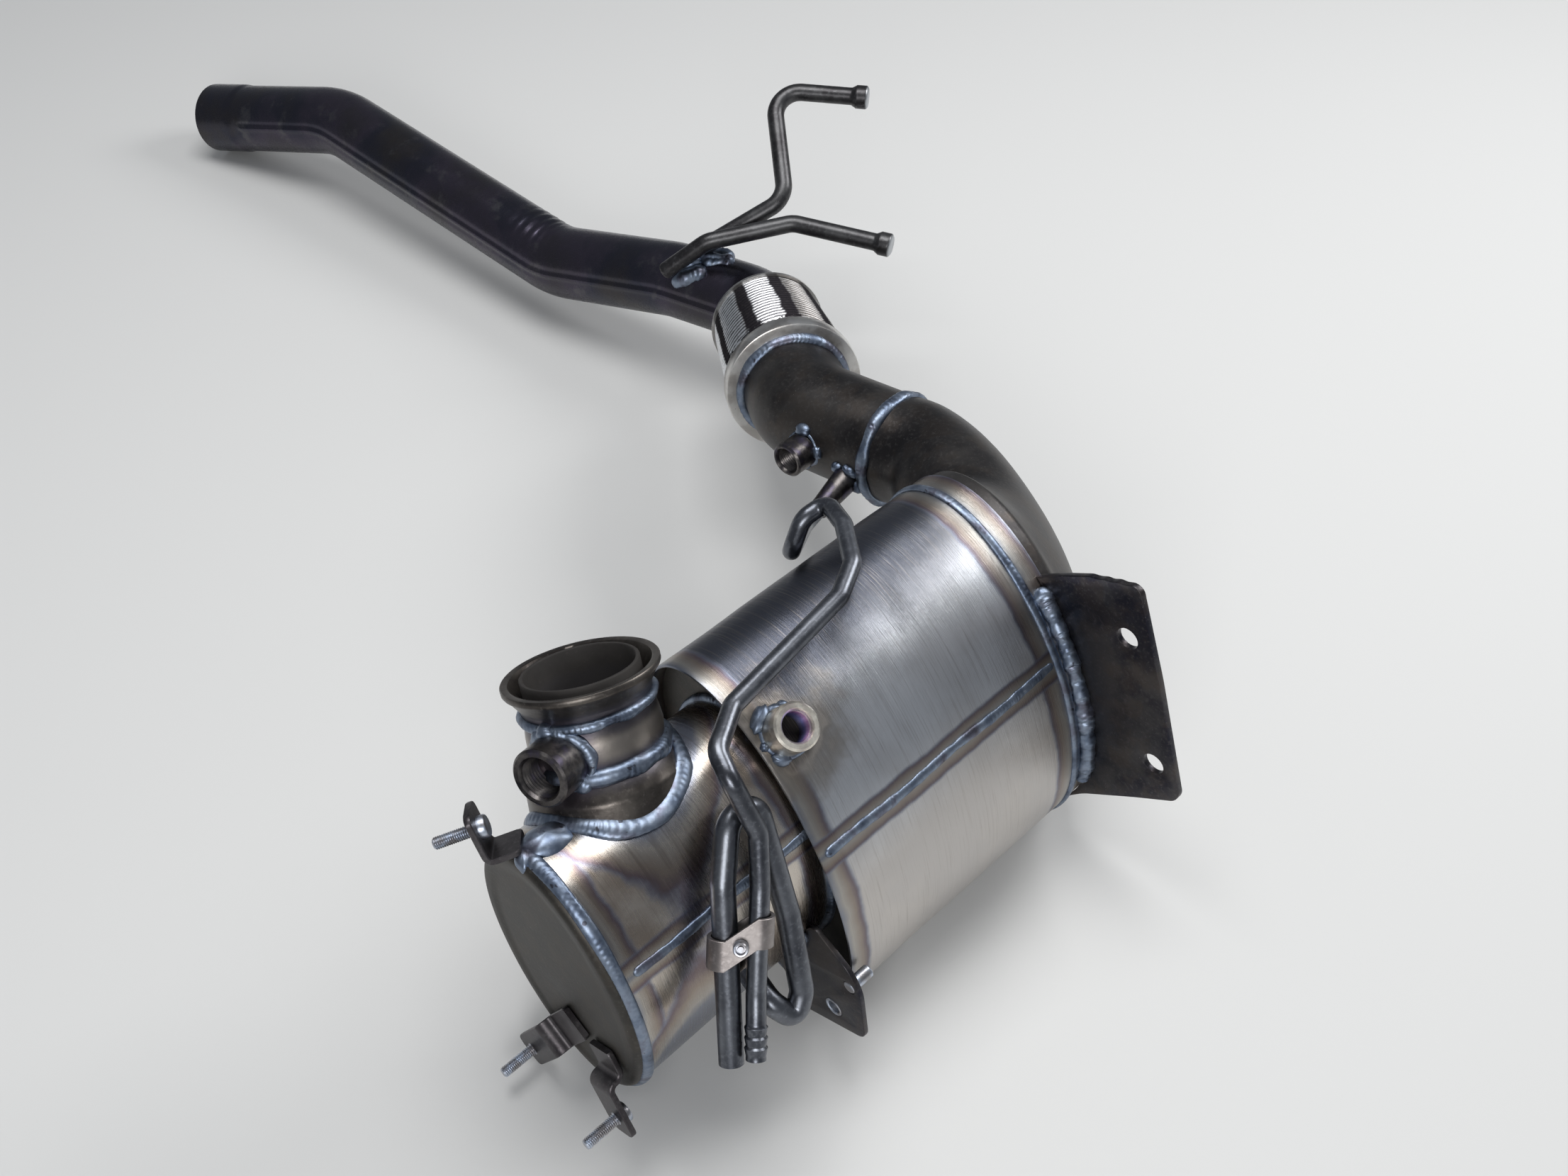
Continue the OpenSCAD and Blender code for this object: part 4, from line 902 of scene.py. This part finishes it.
rings = hood_rings(12)
loops = [hood_loop(h, 0) for h in rings] + [hood_loop(h, WALL) for h in rings[::-1]]
Shape().skin(loops, closed=True).piece("outlet_sheet_hood", HOOD, "sooty_steel", "outlet_hood")
route = [JOINT + JOINT_DIR * SLIP, OUTLET_BEND, FLEX - FLEX_DIR * SLIP]
shape = tube(route, 60, OUTLET_R, OUTLET_R - WALL, 112)
shape.piece("outlet_bent_pipe", HOOD, "sooty_steel", "outlet_pipe")
ring_bead("outlet_joint_bead", "outlet_joint_weld", JOINT, JOINT_DIR, OUTLET_R, (6.5, 2.4, 2.8), 21, 0.26)
ring_bead("coupling_bead", "flex_weld", FLEX - FLEX_DIR * 1.2, FLEX_DIR, OUTLET_R + 1,
          (6.0, 2.4, 2.6), 22, 0.22, lean=-0.8)
bored_boss("outlet_sensor_boss", "outlet_temp_boss", BOSS, OUTLET_BOSS, OUTLET_BOSS_DIR, 0, 13, 9, 6.2,
           FINE_THREAD)
on_outlet = on_pipe(JOINT, JOINT_DIR, OUTLET_R)
boss_weld("outlet_boss_bead", "outlet_temp_weld", OUTLET_BOSS, OUTLET_BOSS_DIR, 9.2, 10, on_outlet,
          (2.0, 0.8, 2.4), 23, 10, [(255, 9, 7, 3), (170, 7, 5, 2.6), (60, 8, 6, 2.8)])
profile = [(2.5, 0), (7, 0), (6.9, 2), (5.3, 22), (5, 23.6), (4.4, PRESSURE_LEN), (2.5, PRESSURE_LEN)]
shape = turned(profile, PRESSURE_BASE, PRESSURE_DIR, 64)
shape.piece("rear_tube_boss", BOSS, "boss_steel", "pressure_boss")
lumps_round(Shape(), PRESSURE_BASE, PRESSURE_DIR, 7.4, on_outlet,
            [(60, 8, 6, 3), (140, 9, 7, 3.4), (220, 9, 6, 3), (290, 7, 6, 3)]).weld("rear_tube_boss_blobs")

profile = [(26.5, 0), (36, 0), (36.7, 0.3), (37, 1), (37, 9), (36.7, 9.7), (36, 10), (34.5, 10), (34.5, 2),
           (26.5, 2)]
turned(profile, FLEX, FLEX_DIR, 160).piece("coupling_front_ring", SATIN, "flex_steel", "flex_ring_front")
WIRE = 0.45
profile = []
for h in np.linspace(2.3, 75.8, 360):
    body = np.interp(h, [2.3, 10, 36, 70, 76], [34.2, 34.3, 33.7, 31.6, 31])
    profile.append((body - WIRE + WIRE * math.sin(h * 2 * math.pi / BRAID_PITCH), h))
profile += [(29.4, 75.8), (29.6, 70), (31.7, 36), (32.3, 2.3)]
shape = turned(profile, FLEX, FLEX_DIR, 180, uneven=0.002)
shape.piece("coupling_braid", BRAID, "braid_wire", "flex_braid", sharp=80)
profile = [(21.5, 76.2), (32.5, 76.2), (32.5, 78.2), (31.8, 78.9), (26, 81.8), (25.5, 82), (23, 82), (23, 80),
           (21.5, 80)]
turned(profile, FLEX, FLEX_DIR, 160).piece("coupling_rear_ring", SATIN, "flex_steel", "flex_ring_rear")

# Downpipe and hangers


def hump(off, wide):
    return np.exp(-((off / wide) ** 2))


def pipe_form(t, angle, length):
    """Swaged tail, its step, the seam along the pipe and the folds inside the bend."""
    tail = np.clip((t - (length - TAIL_LEN)) / 3, 0, 1) * 0.75
    off = np.mod(angle - 3.45 + np.pi, 2 * np.pi) - np.pi
    seam = (0.75 * hump(off, 0.06) - 0.3 * hump(abs(off) - 0.15, 0.05)) * (t < length - 40)
    folds = 0.5 * np.sin(t * 0.9) * hump(t - 195, 14) * np.clip(np.cos(angle - 4.8), 0, 1)
    return tail + seam + folds


def rod_form(t, angle, length):
    """Bulb end, with the foot's end rounded."""
    neck = np.clip((t - (length - 10)) / 3, 0, 1)
    round_end = np.clip((t - (length - 1.6)) / 1.6, 0, 1) ** 2
    foot = np.clip(1 - t / 2.0, 0, 1) ** 2
    return neck * 1.75 - round_end * 1.6 - foot * 1.4


shape = tube(PIPE_ROUTE, 70, PIPE_R, PIPE_R - WALL, 144, 2.0, pipe_form)
shape.piece("downpipe_tube", DOWNPIPE, "downpipe_steel", "downpipe")
for name, route in (("upper", UPPER_ROD), ("lower", LOWER_ROD)):
    shape = tube(route[:-1] + [rod_end(route)[0]], 14, ROD_R, 0, 40, 0.7, rod_form)
    shape.piece(name + "_hanger_rod", ROD, "rod_steel", "hanger_rod_" + name)

shape = Shape()
start, axis = PIPE_ROUTE[1], unit(PIPE_ROUTE[2] - PIPE_ROUTE[1])
for seed, route in ((31, UPPER_ROD), (32, LOWER_ROD)):
    foot, d = np.asarray(route[0], float), unit(np.subtract(route[1], route[0]))
    for side in (-1, 1):
        line, ups = [], []
        for k in np.linspace(-3, 27, 36):
            p = foot + d * k
            on_axis = start + axis * ((p - start) @ axis)
            up = unit(p - on_axis)
            across = unit(np.cross(d, up)) * side
            line.append(on_axis + up * (PIPE_R - 1.1) + across * ROD_R)
            ups.append(unit(up + across * 0.5))
        bead(shape, line, ups, (10.5, 4.8, 4.6), seed + side, rough=0.16, ripple=0.12)
shape.weld("hanger_weld_beads", "hanger_welds")

# Brackets

PLATE_EASE, MOUNT_T, LOWER_T = 0.4, 3, 2.5


def plate(name, outline, holes, x, thick, node):
    """A flat plate square to x, with eased edges: outline of (y, z), holes of (y, z, radius)."""
    curve = bpy.data.curves.new(name, "CURVE")
    curve.dimensions, curve.fill_mode = "2D", "BOTH"
    curve.extrude, curve.bevel_depth, curve.bevel_resolution = thick / 2 - PLATE_EASE, PLATE_EASE, 2
    curve.offset = -PLATE_EASE
    rounds = [[(u + r * math.cos(t), v + r * math.sin(t)) for t in angles(48)] for u, v, r in holes]
    for points in [outline] + rounds:
        spline = curve.splines.new("POLY")
        spline.points.add(len(points) - 1)
        for point, (u, v) in zip(spline.points, points):
            point.co = (u, v, 0, 1)
        spline.use_cyclic_u = True
    obj = bpy.data.objects.new(name + "_outline", curve)
    bpy.context.scene.collection.objects.link(obj)
    mesh = bpy.data.meshes.new_from_object(obj.evaluated_get(bpy.context.evaluated_depsgraph_get()))
    shape = Shape()
    shape.verts = [[x + v.co[2], v.co[0], v.co[1]] for v in mesh.vertices]
    shape.faces = [tuple(f.vertices) for f in mesh.polygons]
    bpy.data.objects.remove(obj)
    bpy.data.meshes.remove(mesh)
    shape.piece(name, BRACKET, "bracket_steel", node, sharp=30)


def smooth_corners(points, r):
    """An outline with each corner rounded by six points."""
    out = []
    for i, p in enumerate(points):
        p = np.asarray(p, float)
        a, b = np.subtract(points[i - 1], p), np.subtract(points[(i + 1) % len(points)], p)
        back = min(r, 0.45 * np.linalg.norm(a), 0.45 * np.linalg.norm(b))
        for t in np.linspace(0, 1, 6):
            out.append(tuple(p + unit(a) * back * (1 - t) ** 2 + unit(b) * back * t**2))
    return out


def plated(name, node, profile, p, d, n, closed=False):
    """A small turned piece of zinc-plated steel."""
    turned(profile, p, d, n, closed).piece(name, ZINC, "stud_zinc", node)


def beside_filter(t, proud):
    """A point round the filter can's visible side, as (y, z)."""
    return -(DPF_HY + proud) * math.cos(t), (DPF_HZ + proud) * math.sin(t)


arc = [beside_filter(t, 0.3) for t in np.linspace(-1.28, 0.52, 70)]
ragged = [(-78, 50), (-82, 49.3), (-86, 49.9), (-89, 49.1), (-93, 49.7), (-96, 48.8)]
outer_edge = smooth_corners([arc[-1], (-60, 47.5), *ragged, (-101, 49), (-104, 46), (-100, 0), (-92, -62),
                             (-88, -66), (-64, -71), (-30, -79), arc[0]], 4)[6:-6]
hole_way = unit([-6.7, 67.2]) * 34
holes = [(-85.5 + hole_way[0] * k, -13 + hole_way[1] * k, 5.25) for k in (-1, 1)]
plate("side_mounting_plate", arc + outer_edge, holes, DPF_LEN - MOUNT_T / 2, MOUNT_T, "mounting_plate")
q = np.array([[DPF_LEN - 5.4, *beside_filter(t, 1)] for t in np.linspace(-0.86, 0.47, 120)])
ups = oval_up(q, DPF_HZ, DPF_HY) + [-0.7, 0, 0]
shape = bead(Shape(), q, ups, (8.5, 3.8, 3.8), 41, rough=0.2, ripple=0.2)
shape.weld("mounting_plate_bead", "mounting_plate_weld")

outline = smooth_corners([(-16, -42), (-36, -28), (-50, -48), (-51, -60), (-40, -90), (2, -90), (8, -52)], 5)
plate("lower_support_bracket", outline, [(-25, -78, 4.8), (-45, -58, 3.2)], -5.75, LOWER_T, "lower_bracket")
profile = [(3.3, -2.4), (3.7, -2.8), (4.4, -2.8), (4.7, -2.5), (4.7, 0), (6.2, 0), (6.5, 0.4), (6.5, 3.5),
           (6, 4), (3.8, 4), (3.3, 3.5)]
plated("bracket_weld_nut", "lower_bracket_nut", profile, [-4.5, -25, -78], [1, 0, 0], 64, True)
profile = [(0, 2.9), (2.7, 2.9), (3, 3.2), (3, 14.4), (2.4, 15), (0, 15)]
plated("bracket_pin", "lower_bracket_pin", profile, [-10, -45, -58], [1, 0, 0], 48)
q = np.array([[-8.2, DOC_HY * math.sin(t), DOC_HZ * math.cos(t)] for t in np.linspace(3.55, 4.2, 60)])
shape = bead(Shape(), *on_doc(q, -0.5), (6.5, 2.8, 3.0), 43, rough=0.3)
shape.weld("lower_bracket_bead", "lower_bracket_weld")

# Pressure tubes


def barbs(t, angle, length):
    """Hose barbs on the last part of the tube."""
    back = length - t
    return np.where((back > 1) & (back < 13), 0.75 * np.mod(back - 1, 4) / 4 - 0.15, 0)


shape = tube(REAR_TUBE, 9, REAR_TUBE_R, REAR_TUBE_R - WALL, 32, 0.8, barbs)
shape.piece("rear_sensing_tube", TUBE, "tube_steel", "rear_pressure_tube")
shape = tube(FRONT_TUBE, 9, FRONT_TUBE_R, FRONT_TUBE_R - WALL, 36, 0.9)
shape.piece("front_sensing_tube", TUBE, "tube_steel", "front_pressure_tube")

clip_a = np.add(REAR_TUBE[-3], REAR_TUBE[-2]) / 2
clip_d = unit(np.subtract(REAR_TUBE[-2], REAR_TUBE[-3]))
leg = unit(np.subtract(FRONT_TUBE[1], FRONT_TUBE[0]))
clip_b = np.asarray(FRONT_TUBE[0], float) + leg * (((clip_a - FRONT_TUBE[0]) @ clip_d) / (leg @ clip_d))
clip_mid = (clip_a + clip_b) / 2
across = unit(clip_b - clip_a)
normal = np.cross(clip_d, across)


def band(grow, along):
    """Outline of the clip round both tubes, at a place along them, one lobe lower than the other."""
    out = []
    for centre, r, t0 in ((clip_b, FRONT_TUBE_R + grow, -90), (clip_a, REAR_TUBE_R + grow, 90)):
        for t in np.radians(np.linspace(t0, t0 + 180, 24)):
            out.append(centre + across * r * math.cos(t) + normal * r * math.sin(t))
    out = np.array(out)
    lean = np.clip((out - clip_mid) @ across / (np.linalg.norm(clip_b - clip_a) / 2), -1, 1)
    return out + np.outer(lean * CLIP_LEAN, clip_d) + clip_d * along


loops = [band(grow, along) for grow, along in (
    (0.6, -CLIP_HALF), (1.9, -CLIP_HALF), (2.1, 0.2 - CLIP_HALF),
    (2.1, CLIP_HALF - 0.2), (1.9, CLIP_HALF), (0.6, CLIP_HALF))]
Shape().skin(loops, closed=True).piece("tube_band_clip", CLIP, "tube_steel", "tube_clip")
out = normal if normal[1] < 0 else -normal
profile = [(0, 3.0), (1.2, 3.0), (1.3, 1.8), (1.9, 1.8), (2, 3.4), (2.6, 3.5), (3, 2.9), (3, 0), (0, 0)]
plated("clip_round_screw", "clip_screw", profile, clip_mid + out * 7.1, out, 48)

# Heat shield tabs and studs


def strip(name, side_line, place, node):
    """A bent strip: side_line of (along, out) in the strip's own plane, with rounded ends."""
    e = TAB_EASE
    section = ((1, e), (1 - e, 0), (e - 1, 0), (-1, e))
    corners = [(c, m, 1) for c, m in section] + [(c, m, -1) for c, m in section[::-1]]
    t, pts, ways = path([(u, v, 0) for u, v in side_line], 3.5, 0.6)
    loops = []
    for s, p, w in zip(t, pts, ways):
        reach = min(1, min(t[-1] - s, s + 1) / TAB_CORNER)
        half = TAB_WIDTH / 2 - TAB_CORNER * (1 - math.sqrt(1 - (1 - reach) ** 2))
        n = np.array([-w[1], w[0], 0]) * TAB_T / 2
        loops.append([place(p + n * c + np.array([0, 0, half - m]) * k) for c, m, k in corners])
    Shape().skin(loops, caps=True).piece(name, TAB, "tab_steel", node, sharp=35)


def tab_place(yz, turn):
    """From a strip's own plane to the end cap's face, turned about the can's axis."""
    c, s = math.cos(math.radians(turn)), math.sin(math.radians(turn))
    return lambda v: np.array([CAP_X - v[1], yz[0] + v[0] * c - v[2] * s, yz[1] + v[0] * s + v[2] * c])


def stud_at(name, p, d, node):
    """A stud: round head behind the tab, thread in front; d points out along the thread."""
    profile = [(0, -3), (4.1, -3), (4.5, -2.5), (4.5, 0), (3, 0), (3, 2.5)]
    for k in range(18):
        profile += [(2.5, 2.6 + k * 0.85), (2.15, 3.0 + k * 0.85)]
    profile += [(2.4, 17.8), (1.9, 18.5), (0, 18.5)]
    plated(name, node, profile, p, d, 40)


for side, yz, turn, reach in (("left", (11, -24), -33, 50), ("right", (-8, -33), -92, 26)):
    place = tab_place(yz, turn)
    base, top = TAB_T / 2, 8.25
    step = reach * 0.55 - 6 - base
    line = [(-6, base), (step, base), (step, top), (reach + 8, top)]
    strip(side + "_shield_tab", line, place, side + "_stud_tab")
    stud_at(side + "_shield_stud", place(np.array([reach, 7, 0])), [-1, 0, 0], side + "_stud")

UPPER_Z = DOC_CENTRE[2] + math.hypot(DOC_HZ * math.cos(DOC_TURN), DOC_HY * math.sin(DOC_TURN)) + 0.4
EAR = np.array([DOC_X0 - 8, -4, UPPER_Z])
EAR_TURN = math.radians(-35)
EAR_OUT = np.array([-math.cos(EAR_TURN), -math.sin(EAR_TURN), 0])
EAR_SIDE = np.array([-math.sin(EAR_TURN), math.cos(EAR_TURN), 0])
strip("upper_shield_tab", [(-12, 1.5), (0, 1.5), (1.0, 4.0), (1.0, 22)],
      lambda v: EAR + EAR_OUT * (v[0] + 0.2) + np.array([0, 0, v[1]]) + EAR_SIDE * v[2], "upper_stud_tab")
shape = lump(Shape(), [-84, -15, UPPER_Z - 3.6], [0.1, -0.4, 1], [1, -0.2, 0], (23, 18, 6.4), 3)
lump(shape, [-95, -15.5, UPPER_Z - 3.2], [-0.1, -0.4, 1], [0.5, 1, 0], (10, 8, 4.2), 5)
shape.weld("upper_tab_blobs")
stud_at("upper_shield_stud", EAR + np.array([0, 0, 13]), EAR_OUT, "upper_stud")

# Inner pieces keep their construction shape
for node, material in (("dpf_front_plate", CAP), ("dpf_mat", FIBRE), ("dpf_core", CERAMIC), ("doc_mat", FIBRE),
                       ("doc_core", CERAMIC), ("flex_bellows", SATIN)):
    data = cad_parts[node].data
    data.materials.clear()
    data.materials.append(material)

# Floor, light and camera, in metres

scene = bpy.context.scene
low, half = loaded_box[0][2], 6
corners = [(-half, -half, low), (half, -half, low), (half, half, low), (-half, half, low)]
mesh = bpy.data.meshes.new("floor")
mesh.from_pydata(corners, [], [(0, 1, 2, 3)])
floor = bpy.data.objects.new("floor", mesh)
scene.collection.objects.link(floor)
mesh.materials.append(Net("floor_pale", (0.62, 0.62, 0.61)).finish(0.75, 0.0))


def placed(right, up, back, at):
    return Matrix([[right[k], up[k], back[k], at[k]] for k in range(3)] + [[0, 0, 0, 1]])


CAMERA_AT = (-0.2222, -0.3411, 0.4832)
RIGHT, UP, BACK = (0.7169, -0.6972, 0), (0.5149, 0.5294, 0.6743), (-0.4701, -0.4834, 0.7385)
FOCAL, PICTURE_WIDTH, SENSOR = 2300, 2212, 36
lens = bpy.data.cameras.new("camera")
lens.lens, lens.sensor_width, lens.clip_start = SENSOR * FOCAL / PICTURE_WIDTH, SENSOR, 0.01
camera = bpy.data.objects.new("camera", lens)
camera.matrix_world = placed(RIGHT, UP, BACK, CAMERA_AT)
scene.collection.objects.link(camera)
scene.camera = camera


def softbox(name, at, target, size, power):
    light = bpy.data.lights.new(name, "AREA")
    light.shape, light.size, light.size_y = "RECTANGLE", size[0], size[1]
    light.energy = power
    obj = bpy.data.objects.new(name, light)
    back = unit(np.subtract(at, target))
    side = unit(np.cross([0, 0, 1], back))
    obj.matrix_world = placed(side, np.cross(back, side), back, at)
    scene.collection.objects.link(obj)


softbox("overhead_box", (0.25, 0.3, 1.5), (0.1, 0.1, 0), (1.1, 0.8), 19)
softbox("front_box", (-0.9, -0.9, 0.7), (0.05, 0.0, -0.05), (0.7, 0.5), 10)
softbox("side_box", (1.3, -0.3, 0.8), (0.15, 0.1, -0.05), (0.6, 0.6), 10)
scene.world = bpy.data.worlds.new("studio")
scene.world.use_nodes = True
backdrop = scene.world.node_tree.nodes["Background"]
backdrop.inputs["Color"].default_value = (0.5, 0.53, 0.58, 1)
backdrop.inputs["Strength"].default_value = 0.4
scene.view_settings.view_transform = "Standard"
